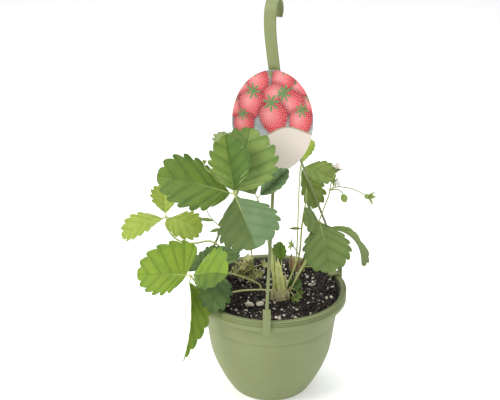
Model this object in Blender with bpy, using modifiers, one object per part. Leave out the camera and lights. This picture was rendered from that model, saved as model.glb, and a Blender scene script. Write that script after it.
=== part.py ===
"""Potted strawberry plant: a moulded hanging pot with its strap hanger, a picture
card, soil and the plant's crowns, leaves and flower sprays. Metres, +Z up, with
the origin at the centre of the pot's flat base."""

import math
from dataclasses import dataclass

import bmesh
import bpy
from mathutils import Matrix, Vector, noise

# Pot
RIM_R = 0.095             # outer radius of the rolled rim
POT_H = 0.138             # height of the rim above the base
SKIRT_H = 0.0135          # depth of the rim's outer skirt
MOUTH_R = 0.090           # inner edge of the rim's flat top
WALL = 0.0016             # wall thickness of the moulding
FLOOR = 0.0022            # thickness of the pot's floor
TURN_STEPS = 32
BODY = [                  # outer side below the rim: radius, height
    (0.0866, 0.1325), (0.0857, 0.124), (0.0838, 0.110), (0.0823, 0.0985),
    (0.0817, 0.0968), (0.0806, 0.087), (0.0785, 0.070), (0.0757, 0.055),
    (0.0706, 0.040), (0.0638, 0.025), (0.0565, 0.0115), (0.0505, 0.0022),
    (0.0480, 0.0),
]
DRAIN_R = 0.0035          # radius of the drain holes
DRAIN_RING = 0.030        # distance of the drain holes from the axis
DRAINS = 4

# Soil
SOIL_Z = 0.1325           # mean level of the soil
SOIL_BUMP = 0.0022        # height of its lumps
GAP = 0.0003              # clearance between pieces that touch
STEM_HOLE = 0.0005        # clearance round a stem in its hole
CROWN_HOLE = 0.0009       # clearance round a crown in its hole
ROOT_Z = SOIL_Z - 0.010   # stems end this deep in the soil
HOLE_Z = ROOT_Z - 0.0015
PERLITE = (               # plan place and half sizes of each large lump
    (-0.0277, -0.0445, (0.0058, 0.0040, 0.0028)),
    (-0.0141, -0.0445, (0.0047, 0.0042, 0.0032)),
)

# Hanger
HUB = Vector((0.006, 0.0, 0.386))
ARM_W = 0.0038
ARM_T = 0.0022
CLIP_W = 0.0095
CLIP_TOP = 0.1555
TONGUE_Z = 0.1342         # lower end of the tongue inside the mouth
CLIP_AZIMUTHS = (-4.0, 112.0, -126.0)     # degrees from the front, to the right
HOOK_W = 0.0150
HOOK_T = 0.0022
HOOK_TURN = 25.0                          # degrees the hook's plane leaves the Y axis
HOOK_PATH = [                             # forward reach and height above the hub
    (0.0010, -0.0040), (0.0035, 0.012), (0.0095, 0.034), (0.0165, 0.058),
    (0.0218, 0.079), (0.0236, 0.095), (0.0222, 0.1085), (0.0178, 0.1165),
    (0.0120, 0.1190), (0.0066, 0.1165), (0.0034, 0.1105), (0.0032, 0.1035),
    (0.0064, 0.0975),
]

# Card
CARD_W = 0.0945
CARD_H = 0.1205
CARD_T = 0.0008
CARD_CENTRE = Vector((-0.0002, -0.0256, 0.3643))
CARD_ROLL = -2.7                          # degrees its top leans to the left
CARD_TILT = 9.7                           # degrees it lies back against the front arm
SLOT_DROP = 0.0052                        # slot centre below the card's top edge
SLOT_W = 0.0040
SLOT_H = 0.0068
PEG_W = 0.0028
PEG_T = 0.0022

# Blades
BLADE_T = 0.0008
TOOTH_DEPTH = 0.041       # half depth of a tooth, as a share of the length
TOOTH_LEAN = 0.8          # how far a tooth leans to the tip, by its depth

COLOURS = {                               # red, green, blue, roughness
    "pot": (0.36, 0.43, 0.18, 0.55),
    "soil": (0.025, 0.020, 0.016, 0.95),
    "perlite": (0.80, 0.79, 0.76, 0.9),
    "card": (0.72, 0.68, 0.60, 0.5),
    "leaf_dark": (0.07, 0.16, 0.03, 0.55),
    "leaf_mid": (0.12, 0.25, 0.03, 0.55),
    "leaf_bright": (0.22, 0.38, 0.03, 0.55),
    "stem": (0.40, 0.50, 0.12, 0.6),
    "crown": (0.42, 0.40, 0.16, 0.7),
    "petal": (0.86, 0.84, 0.82, 0.5),
    "eye": (0.62, 0.58, 0.10, 0.6),
}

PARTS = "potted_strawberry_plant"
CUTTERS = "cutters"


@dataclass(frozen=True)
class Blade:
    """One leaflet, sepal or petal, from where it starts to its tip."""

    tip: tuple
    width: float
    face: tuple                 # direction its upper side looks
    base: tuple = None          # start, where it isn't the leaf's node
    fold: float = 12.0          # degrees each half rises from the midrib
    arch: float = 0.0           # rise of the midrib between its ends
    teeth: int = 7              # teeth along each side
    rows: int = 2               # steps along an untoothed blade
    stalk: float = 0.005        # length of the little stalk
    blunt: float = 0.55         # lower is blunter
    wedge: float = 0.90         # higher is more wedge shaped at the base
    skew: float = 0.0           # share by which the right half is the wider
    lobe: float = 0.0           # how far one half reaches back: right over 0, left under


@dataclass(frozen=True)
class Leaf:
    """A leaf: its stalk from the soil to the node, and its leaflets."""

    name: str
    colour: str
    stalk: tuple                # points from the root to the node
    radius: float
    blades: tuple


def material(name):
    """The Principled material of that name, made the first time it is asked for."""
    found = bpy.data.materials.get(name)
    if found:
        return found
    red, green, blue, roughness = COLOURS[name]
    made = bpy.data.materials.new(name)
    made.use_nodes = True
    shader = made.node_tree.nodes["Principled BSDF"]
    shader.inputs["Base Color"].default_value = (red, green, blue, 1.0)
    shader.inputs["Roughness"].default_value = roughness
    made.diffuse_color = (red, green, blue, 1.0)
    return made


def collection(name):
    """The scene's collection of that name."""
    found = bpy.data.collections.get(name)
    if not found:
        found = bpy.data.collections.new(name)
        bpy.context.scene.collection.children.link(found)
    return found


def add_object(name, data, group=PARTS):
    """A new object for the mesh or curve, in the named collection."""
    made = bpy.data.objects.new(name, data)
    collection(group).objects.link(made)
    return made


def mesh_object(name, bm, group=PARTS):
    """A new mesh object from a bmesh."""
    mesh = bpy.data.meshes.new(name)
    bm.to_mesh(mesh)
    bm.free()
    return add_object(name, mesh, group)


def as_mesh(obj, weld=True):
    """The object as a plain mesh object: its curve or modifiers are made real."""
    bpy.context.view_layer.update()
    graph = bpy.context.evaluated_depsgraph_get()
    mesh = bpy.data.meshes.new_from_object(obj.evaluated_get(graph))
    if weld:
        bm = bmesh.new()
        bm.from_mesh(mesh)
        bmesh.ops.remove_doubles(bm, verts=bm.verts, dist=1e-6)
        bm.to_mesh(mesh)
        bm.free()
    group = obj.users_collection[0].name
    name = obj.name
    place = obj.matrix_world.copy()
    bpy.data.objects.remove(obj)
    made = add_object(name, mesh, group)
    made.name = name
    made.matrix_world = place
    return made


def boolean(obj, operation, others, solver="EXACT"):
    """The object after one Boolean with all the others, which are removed."""
    group = bpy.data.collections.new("operands")
    bpy.context.scene.collection.children.link(group)
    for other in others:
        group.objects.link(other)
    step = obj.modifiers.new(operation.lower(), "BOOLEAN")
    step.operation = operation
    step.operand_type = "COLLECTION"
    step.solver = solver
    step.collection = group
    made = as_mesh(obj, weld=False)
    for other in others:
        bpy.data.objects.remove(other)
    bpy.data.collections.remove(group)
    return made


def fuse(name, pieces, colour, solver="EXACT"):
    """One named body from the overlapping pieces."""
    first, *others = pieces
    made = boolean(first, "UNION", others, solver)
    made.name = name
    made.data.name = name
    made.data.materials.clear()
    made.data.materials.append(material(colour))
    return made


def smooth_path(points, spacing):
    """Points on a smooth curve through the given ones, about a spacing apart."""
    knots = [Vector(point) for point in points]
    ends = [2 * knots[0] - knots[1], *knots, 2 * knots[-1] - knots[-2]]
    path = []
    for before, start, end, after in zip(ends, ends[1:], ends[2:], ends[3:]):
        steps = max(1, round((end - start).length / spacing))
        for step in range(steps):
            t = step / steps
            path.append(0.5 * (2 * start + (end - before) * t
                               + (2 * before - 5 * start + 4 * end - after) * t ** 2
                               + (3 * start - before - 3 * end + after) * t ** 3))
    return [*path, knots[-1]]


def tube(name, points, radius, taper=1.0, spacing=0.018, sides=1):
    """A round stem along the points, thinning to a share of its radius."""
    path = smooth_path(points, spacing)
    curve = bpy.data.curves.new(name, "CURVE")
    curve.dimensions = "3D"
    curve.bevel_depth = radius
    curve.bevel_resolution = sides
    curve.use_fill_caps = True
    spline = curve.splines.new("POLY")
    spline.points.add(len(path) - 1)
    for index, (knot, place) in enumerate(zip(spline.points, path)):
        knot.co = (*place, 1.0)
        knot.radius = 1.0 + (taper - 1.0) * index / (len(path) - 1)
    return as_mesh(add_object(name, curve))


def along(v):
    """Share of a blade's length reached by its margin at v, from base to tip."""
    return 0.5 * v + 0.25 * (1.0 - math.cos(math.pi * v))


def half_width(q, blade, side):
    """Half width on a side, 1 or -1, at a share of the length; the wide side is blunt."""
    wedge = blade.wedge * (1.0 - 1.5 * blade.skew * side)
    peak = wedge / (wedge + blade.blunt)
    full = peak ** wedge * (1.0 - peak) ** blade.blunt
    q = min(max(q, 0.0), 1.0)
    shape = q ** wedge * (1.0 - q) ** blade.blunt / full
    return shape * blade.width / 2 * (1.0 + blade.skew * side)


def ramp(v, start, end):
    """0 before the start and 1 after the end, with a smooth change between."""
    t = min(max((v - start) / (end - start), 0.0), 1.0)
    return t * t * (3.0 - 2.0 * t)


def blade_point(blade, length, u, v):
    """Place of a blade's point: along it, across it and above its chord."""
    q = along(v)
    side = 1.0 if u > 0 else -1.0
    step = 0.01
    q0, q1 = along(max(v - step, 0.0)), along(min(v + step, 1.0))
    widening = half_width(q1, blade, side) - half_width(q0, blade, side)
    run = Vector(((q1 - q0) * length, widening)).normalized()
    wave = math.cos(2 * math.pi * v * blade.teeth) if blade.teeth else 0.0
    bite = TOOTH_DEPTH * length * wave * ramp(v, 0.12, 0.35) * (7 / max(blade.teeth, 1)) ** 0.7
    bite *= 1.0 - ramp(v, 0.95, 1.0)
    margin = Vector((q * length, half_width(q, blade, side)))
    margin += bite * (Vector((-run.y, run.x)) + TOOTH_LEAN * run)
    margin.x -= max(blade.lobe * side, 0.0) * length * 2.2 * math.sqrt(q) * (1.0 - q) ** 2
    margin.y = max(margin.y, 0.0006)
    mid = (q - 0.24 * math.sin(math.pi * v) ** 2) * length
    x = mid + abs(u) * (margin.x - mid)
    y = abs(u) * margin.y
    fold = math.radians(blade.fold)
    pleat = -0.012 * length * wave * math.sin(math.pi * v) * abs(u) if blade.teeth else 0.0
    share = min(max(x / length, 0.0), 1.0)
    rise = 4.0 * blade.arch * share * (1.0 - share) + y * math.sin(fold) + pleat
    return x, math.copysign(y * math.cos(fold), u), rise


def blade_frame(base, blade):
    """Axes of a blade that starts at the base: along, across and up, and its length."""
    chord = Vector(blade.tip) - base
    ahead = chord.normalized()
    face = Vector(blade.face)
    up = (face - face.dot(ahead) * ahead).normalized()
    return ahead, ahead.cross(up), up, chord.length


def blade_sheet(name, base, blade, thickness=BLADE_T):
    """A toothed, folded and arched blade as a thin closed solid."""
    ahead, across, up, length = blade_frame(base, blade)
    rows = 2 * blade.teeth if blade.teeth else blade.rows
    bm = bmesh.new()
    bmesh.ops.create_grid(bm, x_segments=2, y_segments=rows, size=1.0)
    for vert in bm.verts:
        x, y, z = blade_point(blade, length, vert.co.x, (vert.co.y + 1.0) / 2.0)
        vert.co = base + ahead * x + across * y + up * z
    bmesh.ops.triangulate(bm, faces=bm.faces)
    sheet = mesh_object(name, bm)
    solid = sheet.modifiers.new("thickness", "SOLIDIFY")
    solid.thickness = thickness
    solid.offset = 0.0
    return as_mesh(sheet)


def rib(name, node, blade, radius):
    """The little stalk of a blade, which runs on as its midrib's root."""
    start, blade_base = Vector(node), leaflet_base(node, blade)
    ahead, _, up, length = blade_frame(blade_base, blade)
    share = 0.10
    end = blade_base + ahead * share * length
    end += up * 4.0 * blade.arch * share * (1.0 - share)
    return tube(name, [start, blade_base, end], radius, taper=0.6, spacing=0.02, sides=0)


def leaflet_base(node, blade):
    """Where a leaflet's blade starts: at its own base or past its little stalk."""
    if blade.base:
        return Vector(blade.base)
    start = Vector(node)
    return start + (Vector(blade.tip) - start).normalized() * blade.stalk


def leaf(spec):
    """One leaf node: a stalk with its leaflets, whose margins cross, fused on."""
    node, below = Vector(spec.stalk[-1]), Vector(spec.stalk[-2])
    knuckle = node + (node - below).normalized() * spec.radius
    pieces = [tube(spec.name, [*spec.stalk[:-1], knuckle], spec.radius, taper=0.85)]
    for index, blade in enumerate(spec.blades):
        pieces.append(rib(f"rib_{index}", node, blade, spec.radius * 0.75))
        pieces.append(blade_sheet(f"blade_{index}", leaflet_base(node, blade), blade))
    return fuse(spec.name, pieces, spec.colour, "MANIFOLD")


def star(centre, axis, count, length, width, lift, turn=0.0, reach=0.0008, **shape):
    """Blades that spread round an axis from near a centre, as sepals or petals do."""
    centre, axis = Vector(centre), Vector(axis).normalized()
    side = axis.orthogonal().normalized()
    blades = []
    for index in range(count):
        spin = Matrix.Rotation(2 * math.pi * index / count + turn, 3, axis)
        out = spin @ side
        slope = math.radians(lift)
        way = out * math.cos(slope) + axis * math.sin(slope)
        look = axis * math.cos(slope) - out * math.sin(slope)
        start = centre + out * reach
        blades.append(Blade(tip=tuple(start + way * length), width=width,
                            face=tuple(look), base=tuple(start), teeth=0, **shape))
    return blades


def cup(name, centre, axis, radius, depth, tip=0.35):
    """A small faceted cup under a flower, its wide end at the centre."""
    bm = bmesh.new()
    bmesh.ops.create_cone(bm, cap_ends=True, segments=6, radius1=radius * tip,
                          radius2=radius, depth=depth)
    made = mesh_object(name, bm)
    axis = Vector(axis).normalized()
    place = Matrix.Translation(Vector(centre) - axis * depth * 0.35)
    made.matrix_world = place @ axis.to_track_quat("Z", "Y").to_matrix().to_4x4()
    return as_mesh(made)


def berry(name, centre, axis, radius, length):
    """A small closed bud or unripe fruit, longer than it is wide."""
    bm = bmesh.new()
    bmesh.ops.create_uvsphere(bm, u_segments=8, v_segments=5, radius=radius)
    made = mesh_object(name, bm)
    axis = Vector(axis).normalized()
    stretch = Matrix.Diagonal((1.0, 1.0, length / (2 * radius), 1.0))
    turn = axis.to_track_quat("Z", "Y").to_matrix().to_4x4()
    made.matrix_world = Matrix.Translation(Vector(centre)) @ turn @ stretch
    return as_mesh(made)


# --- pot and soil -----------------------------------------------------------

def lathe(name, profile, steps, group=PARTS):
    """A solid turned from a profile that runs from the axis, up and out, down and in."""
    curve = bpy.data.meshes.new(name)
    edges = [(index, index + 1) for index in range(len(profile) - 1)]
    curve.from_pydata([(radius, 0.0, height) for radius, height in profile], edges, [])
    made = add_object(name, curve, group)
    turn = made.modifiers.new("turn", "SCREW")
    turn.steps = steps
    turn.render_steps = steps
    turn.use_merge_vertices = True
    turn.merge_threshold = 1e-5
    return made


def inner_side():
    """The pot's inner side, from the floor's edge up: radius and height."""
    foot = (BODY[-1][0] - 0.001, FLOOR)
    return [foot, *((radius - WALL, height) for radius, height in BODY[-3::-2])]


def pot():
    """The moulded pot: bowl, ridged rim with its skirt, and drain holes."""
    top = POT_H
    rim = [
        (MOUTH_R - 0.0038, top - 0.0030), (MOUTH_R - 0.0010, top - 0.0008), (MOUTH_R, top),
        (RIM_R - 0.0012, top), (RIM_R, top - 0.0012), (RIM_R, top - 0.0045),
        (RIM_R - 0.0009, top - 0.0054), (RIM_R - 0.0001, top - 0.0064),
        (RIM_R - 0.0001, top - SKIRT_H + 0.0006), (RIM_R - 0.0007, top - SKIRT_H),
        (RIM_R - 0.0018, top - SKIRT_H), (RIM_R - 0.0022, top - 0.0030),
        (MOUTH_R + 0.0005, top - 0.0030), (MOUTH_R - 0.0020, top - 0.0045),
    ]
    profile = [(0.0, FLOOR), *inner_side(), *rim, *BODY, (0.0, 0.0)]
    made = as_mesh(lathe("pot", profile, TURN_STEPS))
    holes = []
    for index in range(DRAINS):
        turn = 2 * math.pi * (index + 0.5) / DRAINS
        bm = bmesh.new()
        bmesh.ops.create_cone(bm, cap_ends=True, segments=12, radius1=DRAIN_R,
                              radius2=DRAIN_R, depth=0.012)
        hole = mesh_object(f"drain_{index}", bm, CUTTERS)
        hole.location = (DRAIN_RING * math.cos(turn), DRAIN_RING * math.sin(turn), 0.0)
        holes.append(hole)
    made = boolean(made, "DIFFERENCE", holes)
    made.data.materials.append(material("pot"))
    made.data.shade_smooth()
    made.data.set_sharp_from_angle(angle=math.radians(35))
    return made


def soil(stems):
    """The soil, lumpy on top, with a plain hole for each stem."""
    side = [(radius - GAP, height + GAP) for radius, height in inner_side()[-2::-1]]
    (low_r, low_z), (high_r, high_z) = inner_side()[-2:]
    share = (SOIL_Z - 0.0015 - low_z) / (high_z - low_z)
    edge = low_r + (high_r - low_r) * share - GAP
    rings = [edge * share for share in (0.15, 0.31, 0.48, 0.65, 0.80, 0.92)]
    top = [(0.0, SOIL_Z)] + [(radius, SOIL_Z) for radius in rings]
    profile = [*top, (edge, SOIL_Z - 0.0015), *side, (0.0, FLOOR + GAP)]
    made = as_mesh(lathe("soil", profile, TURN_STEPS))
    for vert in made.data.vertices:
        if vert.co.z > SOIL_Z - 1e-4:
            spot = Vector((vert.co.x * 60, vert.co.y * 60, 3.7))
            fine = Vector((vert.co.x * 170, vert.co.y * 170, 9.1))
            vert.co.z += SOIL_BUMP * (noise.noise(spot) + 0.6 * noise.noise(fine))
    holes = []
    for index, (x, y, radius) in enumerate(stems):
        bm = bmesh.new()
        bmesh.ops.create_cone(bm, cap_ends=True, segments=8, radius1=radius,
                              radius2=radius, depth=0.04)
        hole = mesh_object(f"hole_{index}", bm, CUTTERS)
        hole.location = (x, y, HOLE_Z + 0.02)
        holes.append(hole)
    made = boolean(made, "DIFFERENCE", holes)
    made.data.materials.append(material("soil"))
    return made


# --- hanger and card --------------------------------------------------------

def outline_solid(name, outline, width):
    """A flat closed outline in local X and Y, made a solid of a width along local Z."""
    curve = bpy.data.curves.new(name, "CURVE")
    curve.dimensions = "2D"
    curve.fill_mode = "BOTH"
    curve.extrude = width / 2
    spline = curve.splines.new("POLY")
    spline.points.add(len(outline) - 1)
    for knot, (x, y) in zip(spline.points, outline):
        knot.co = (x, y, 0.0, 1.0)
    spline.use_cyclic_u = True
    return add_object(name, curve)


def strap_outline(path, thickness):
    """The closed outline of a strap of even thickness along a flat path."""
    near, far = [], []
    for index, place in enumerate(path):
        before = Vector(path[max(index - 1, 0)])
        after = Vector(path[min(index + 1, len(path) - 1)])
        run = (after - before).normalized()
        side = Vector((-run.y, run.x)) * thickness / 2
        near.append(Vector(place) + side)
        far.append(Vector(place) - side)
    return near + far[::-1]


def upright(obj, origin, bearing):
    """Turns a flat outline to stand up, its local X along a bearing in the plan."""
    out = Vector((bearing[0], bearing[1], 0.0)).normalized()
    up = Vector((0.0, 0.0, 1.0))
    across = out.cross(up)
    turn = Matrix((out, up, across)).transposed().to_4x4()
    obj.matrix_world = Matrix.Translation(origin) @ turn
    return as_mesh(obj)


def clip_bearing(azimuth):
    """Plan direction of a clip, by its angle from the front towards the right."""
    turn = math.radians(azimuth)
    return Vector((math.sin(turn), -math.cos(turn), 0.0))


def clip_outline():
    """Side of a clip: plate outside the rim, bridge over it and a tongue inside."""
    out = RIM_R + GAP + ARM_T
    skirt = POT_H - SKIRT_H
    over = POT_H + GAP
    tongue = MOUTH_R - 0.0066
    return [
        (out, CLIP_TOP), (out, skirt - 0.0030), (RIM_R - 0.0035, skirt - 0.0030),
        (RIM_R - 0.0035, skirt - 0.0009), (RIM_R - 0.0022, skirt - GAP),
        (RIM_R + GAP, skirt - GAP), (RIM_R + GAP, over), (tongue, over),
        (tongue - 0.0002, TONGUE_Z), (tongue - 0.0020, TONGUE_Z),
        (tongue - 0.0022, over + 0.0010), (tongue - 0.0010, over + 0.0024),
        (RIM_R + GAP, over + 0.0024), (RIM_R + GAP, CLIP_TOP),
    ]


def hanger():
    """The one-piece strap hanger: hook band, hub, three arms and their clips."""
    hook_run = clip_bearing(-HOOK_TURN)
    band = outline_solid("hook", strap_outline(HOOK_PATH, HOOK_T), HOOK_W)
    pieces = [upright(band, HUB, hook_run)]
    hub = outline_solid("hub", [(0.0040, 0.0045), (0.0022, 0.0100), (-0.0026, 0.0085),
                                (-0.0034, -0.0060), (0.0040, -0.0060)], 0.0100)
    pieces.append(upright(hub, HUB, hook_run))
    for index, azimuth in enumerate(CLIP_AZIMUTHS):
        out = clip_bearing(azimuth)
        clip = outline_solid(f"clip_{index}", clip_outline(), CLIP_W)
        pieces.append(upright(clip, Vector((0.0, 0.0, 0.0)), out))
        foot = out * (RIM_R + GAP + ARM_T / 2)
        run = foot - Vector((HUB.x, HUB.y, 0.0))
        reach = run.length
        height = HUB.z - CLIP_TOP
        path = [(0.0008, -0.0010), (reach * 0.33, -height * 0.345),
                (reach * 0.66, -height * 0.665), (reach * 0.93, -height * 0.93),
                (reach, -height - 0.0030)]
        arm = outline_solid(f"arm_{index}", strap_outline(path, ARM_T), ARM_W)
        pieces.append(upright(arm, HUB, run))
    pieces.append(peg())
    return fuse("hanger", pieces, "pot")


def peg():
    """The small upturned peg on the hook band that the card's slot hangs on."""
    hung = card_place() @ Vector((0.0, CARD_H / 2 - SLOT_DROP + SLOT_H / 2, 0.0))
    root = Vector((hung.x, -0.0075, hung.z - 0.0004))
    reach = root.y - hung.y + CARD_T / 2 + 0.0005
    outline = [(0.0, 0.0), (reach, 0.0), (reach + 0.0003, 0.0014),
               (reach + 0.0015, 0.0014), (reach + 0.0018, -PEG_T), (0.0, -PEG_T)]
    return upright(outline_solid("peg", outline, PEG_W), root, (0.0, -1.0))


def card_place():
    """Where the card hangs: local X across it, Y up it and Z out of its front."""
    turn = (Matrix.Rotation(math.radians(CARD_ROLL), 4, "Y")
            @ Matrix.Rotation(math.radians(90.0 - CARD_TILT), 4, "X"))
    return Matrix.Translation(CARD_CENTRE) @ turn


def card():
    """The oval picture card with the slot that it hangs by."""
    points = 40
    outline = []
    for index in range(points):
        turn = 2 * math.pi * index / points
        outline.append((CARD_W / 2 * math.cos(turn), CARD_H / 2 * math.sin(turn)))
    flat = outline_solid("card", outline, CARD_T)
    slot_y = CARD_H / 2 - SLOT_DROP
    bm = bmesh.new()
    bmesh.ops.create_cube(bm, size=1.0)
    slot = mesh_object("slot", bm, CUTTERS)
    flat.matrix_world = card_place()
    slot.matrix_world = (card_place() @ Matrix.Translation((0.0, slot_y, 0.0))
                         @ Matrix.Diagonal((SLOT_W, SLOT_H, 0.01, 1.0)))
    made = boolean(as_mesh(flat), "DIFFERENCE", [slot])
    made.data.materials.append(material("card"))
    return made


# --- plant ------------------------------------------------------------------

CROWNS = {                                # centre in the plan and radius
    "crown_front": (0.0120, -0.0190, 0.0060),
    "crown_right": (0.0320, 0.0560, 0.0034),
    "crown_left": (-0.0310, 0.0560, 0.0034),
}
CROWN_SCALES = 4


CROWN_REACH = 0.0034      # from a crown's side to the axis of a stem beside it
CROWN_TOP = SOIL_Z + 0.0095


def crown_spot(crown, bearing):
    """Plan place of a stem that stands beside a crown."""
    x, y, radius = CROWNS[crown]
    turn = math.radians(bearing)
    reach = radius + CROWN_REACH
    return x + reach * math.cos(turn), y + reach * math.sin(turn)


def rooted(crown, bearing, *points):
    """A stem's points: straight up out of its hole, then through the given ones."""
    x, y = crown_spot(crown, bearing)
    return ((x, y, ROOT_Z), (x, y, SOIL_Z + 0.0045), *points)


LEAVES = [
    Leaf("leaf_front", "leaf_dark", rooted(
        "crown_front", 200, (0.003, -0.024, 0.165), (-0.002, -0.034, 0.210),
        (-0.017, -0.050, 0.257), (-0.045, -0.068, 0.291)), 0.0015, (
        Blade((-0.131, -0.080, 0.318), 0.070, (0.0, -0.6, 0.8), fold=10, arch=0.003, teeth=8,
              skew=-0.12),
        Blade((-0.026, -0.055, 0.366), 0.066, (0.05, -0.9, 0.35), fold=16, arch=0.004,
              teeth=8, skew=0.2),
        Blade((-0.054, -0.076, 0.365), 0.050, (0.05, -0.95, 0.3), fold=28, arch=0.003,
              teeth=8),
        Blade((-0.020, -0.098, 0.236), 0.073, (0.1, -0.75, 0.6), fold=8, arch=0.007,
              teeth=8))),
    Leaf("leaf_far_left", "leaf_bright", rooted(
        "crown_left", 230, (-0.047, 0.048, 0.151), (-0.064, 0.042, 0.172),
        (-0.078, 0.038, 0.183), (-0.096, 0.040, 0.179), (-0.114, 0.042, 0.180),
        (-0.128, 0.040, 0.193), (-0.133, 0.040, 0.216)), 0.0014, (
        Blade((-0.187, 0.025, 0.194), 0.040, (-0.2, -0.35, 0.9), fold=10, arch=0.006),
        Blade((-0.088, 0.045, 0.197), 0.042, (0.1, -0.6, 0.8), fold=8, arch=0.002,
              skew=0.2, lobe=0.35),
        Blade((-0.138, 0.065, 0.250), 0.034, (0.2, -0.7, 0.6), fold=12))),
    Leaf("leaf_low_left", "leaf_bright", rooted(
        "crown_front", 155, (-0.009, -0.012, 0.1385), (-0.033, -0.020, 0.142),
        (-0.055, -0.030, 0.144), (-0.076, -0.036, 0.149), (-0.089, -0.039, 0.158),
        (-0.099, -0.042, 0.174)), 0.0013, (
        Blade((-0.162, -0.050, 0.178), 0.066, (0.0, -0.75, 0.65), fold=6, arch=0.003, teeth=8,
              skew=0.25, wedge=0.6, blunt=0.6, lobe=0.6),
        Blade((-0.0535, -0.073, 0.190), 0.060, (0.1, -0.6, 0.75), fold=22, arch=0.004,
              wedge=1.3, blunt=0.45),
        Blade((-0.1069, -0.090, 0.0828), 0.043, (0.75, -0.6, 0.2), fold=40, arch=0.008,
              teeth=8, stalk=0.009, blunt=1.4, wedge=0.8))),
    Leaf("leaf_under", "leaf_dark", (
        (-0.014, 0.004, ROOT_Z), (-0.014, 0.004, SOIL_Z + 0.0045),
        (-0.033, -0.003, 0.151), (-0.052, -0.010, 0.161), (-0.066, -0.018, 0.168)),
        0.0011, (
        Blade((-0.0585, 0.007, 0.1895), 0.046, (-0.2, -0.8, 0.5), fold=10),
        Blade((-0.0715, -0.077, 0.142), 0.038, (0.1, -0.6, 0.8), fold=8, arch=0.009),
        Blade((-0.100, 0.012, 0.170), 0.036, (-0.1, -0.4, 0.9), fold=8, teeth=5))),
    Leaf("leaf_middle", "leaf_mid", rooted(
        "crown_front", 115, (0.001, -0.016, 0.165), (-0.005, -0.032, 0.216),
        (-0.012, -0.046, 0.255), (-0.018, -0.056, 0.281)), 0.0011, (
        Blade((0.0180, -0.054, 0.3155), 0.034, (0.1, -0.8, 0.5), fold=52, arch=0.004),
        Blade((-0.044, -0.036, 0.322), 0.040, (0.0, -0.7, 0.6), fold=10))),
    Leaf("leaf_back", "leaf_mid", rooted(
        "crown_left", 20, (-0.0260, 0.0540, 0.1699), (-0.0421, 0.0450, 0.2182),
        (-0.0441, 0.0430, 0.2766)), 0.0011, (
        Blade((-0.0620, 0.0310, 0.3320), 0.034, (0.2, 0.8, 0.4), fold=8, arch=0.004),
        Blade((-0.0140, 0.0640, 0.3149), 0.044, (0.0, 0.7, 0.6), fold=10, teeth=6),
        Blade((-0.0804, 0.0640, 0.2645), 0.040, (-0.2, 0.1, 0.9), fold=10, teeth=6))),
    Leaf("leaf_behind_right", "leaf_bright", rooted(
        "crown_right", 90, (0.0346, 0.0620, 0.1584), (0.0356, 0.0520, 0.2482),
        (0.0366, 0.0480, 0.2815)), 0.0010, (
        Blade((0.0497, 0.0620, 0.3118), 0.036, (-0.5, -0.6, 0.5), fold=24, arch=0.003),
        Blade((0.0780, 0.0270, 0.2715), 0.034, (0.1, -0.6, 0.8), fold=12, arch=0.003,
              teeth=6),
        Blade((0.0550, 0.0340, 0.2310), 0.034, (0.3, -0.7, 0.5), fold=26, arch=0.004,
              teeth=6))),
    Leaf("leaf_right", "leaf_mid", rooted(
        "crown_front", 350, (0.035, -0.018, 0.166), (0.044, -0.016, 0.184),
        (0.051, -0.013, 0.207), (0.058, -0.010, 0.232)), 0.0012, (
        Blade((0.0375, -0.026, 0.2400), 0.032, (0.0, -0.8, 0.6), fold=8, teeth=4,
              stalk=0.002),
        Blade((0.0695, -0.045, 0.1800), 0.058, (0.1, -0.85, 0.5), fold=8, arch=0.009,
              teeth=8, stalk=0.002),
        Blade((0.1140, 0.007, 0.1640), 0.034, (0.8, 0.15, 0.5), fold=24, arch=0.015,
              teeth=7, stalk=0.014, blunt=0.35))),
    Leaf("leaf_young", "leaf_mid", rooted(
        "crown_front", 265, (0.0120, -0.0265, 0.165), (0.0120, -0.0260, 0.184)), 0.0009, (
        Blade((0.0100, -0.0280, 0.212), 0.020, (-0.3, -0.8, 0.3), fold=30, teeth=5,
              stalk=0.003),)),
]


def flower_calyx(centre, axis, size, lift, turn=0.0):
    """A cup with its star of sepals, as pieces that overlap."""
    pieces = [cup("cup", centre, axis, size * 0.28, size * 0.55)]
    for index, blade in enumerate(star(centre, axis, 5, size, size * 0.42, lift, turn,
                                       blunt=1.0, wedge=0.6, fold=6.0)):
        pieces.append(blade_sheet(f"sepal_{index}", Vector(blade.base), blade, 0.0007))
    return pieces


SPRAY_ROOTS = {                           # crown, bearing and stem radius
    "spray_right": ("crown_front", 25, 0.0010),
    "spray_middle": ("crown_front", 65, 0.0013),
    "spray_left": ("crown_left", 290, 0.0008),
    "spray_low": ("crown_left", 335, 0.0009),
}
PEDICEL_R = 0.0006
FLOWERS = {                               # centre, axis, calyx size and petal lift
    "open": ((0.0775, 0.0030, 0.2925), (0.15, -0.1, 1.0), 0.0085, 50),
    "closing": ((0.0745, -0.0045, 0.2805), (0.7, -0.5, 0.1), 0.0070, 60),
}


def pedicel(*points, spacing=0.018):
    """A thin stalk from a fork to a flower or calyx."""
    return tube("pedicel", points, PEDICEL_R, 1.0, spacing, sides=0)


def main_stem(spray, taper, *points):
    """A spray's own stem, from its hole in the soil through the points."""
    crown, bearing, radius = SPRAY_ROOTS[spray]
    return tube("stem", rooted(crown, bearing, *points), radius, taper)


def bract(base, tip, width=0.0060):
    """A small undivided leaf at a stem's fork."""
    return blade_sheet("bract", Vector(base), Blade(
        tip, width, (0.0, -0.5, 1.0), teeth=0, blunt=0.9))


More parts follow.
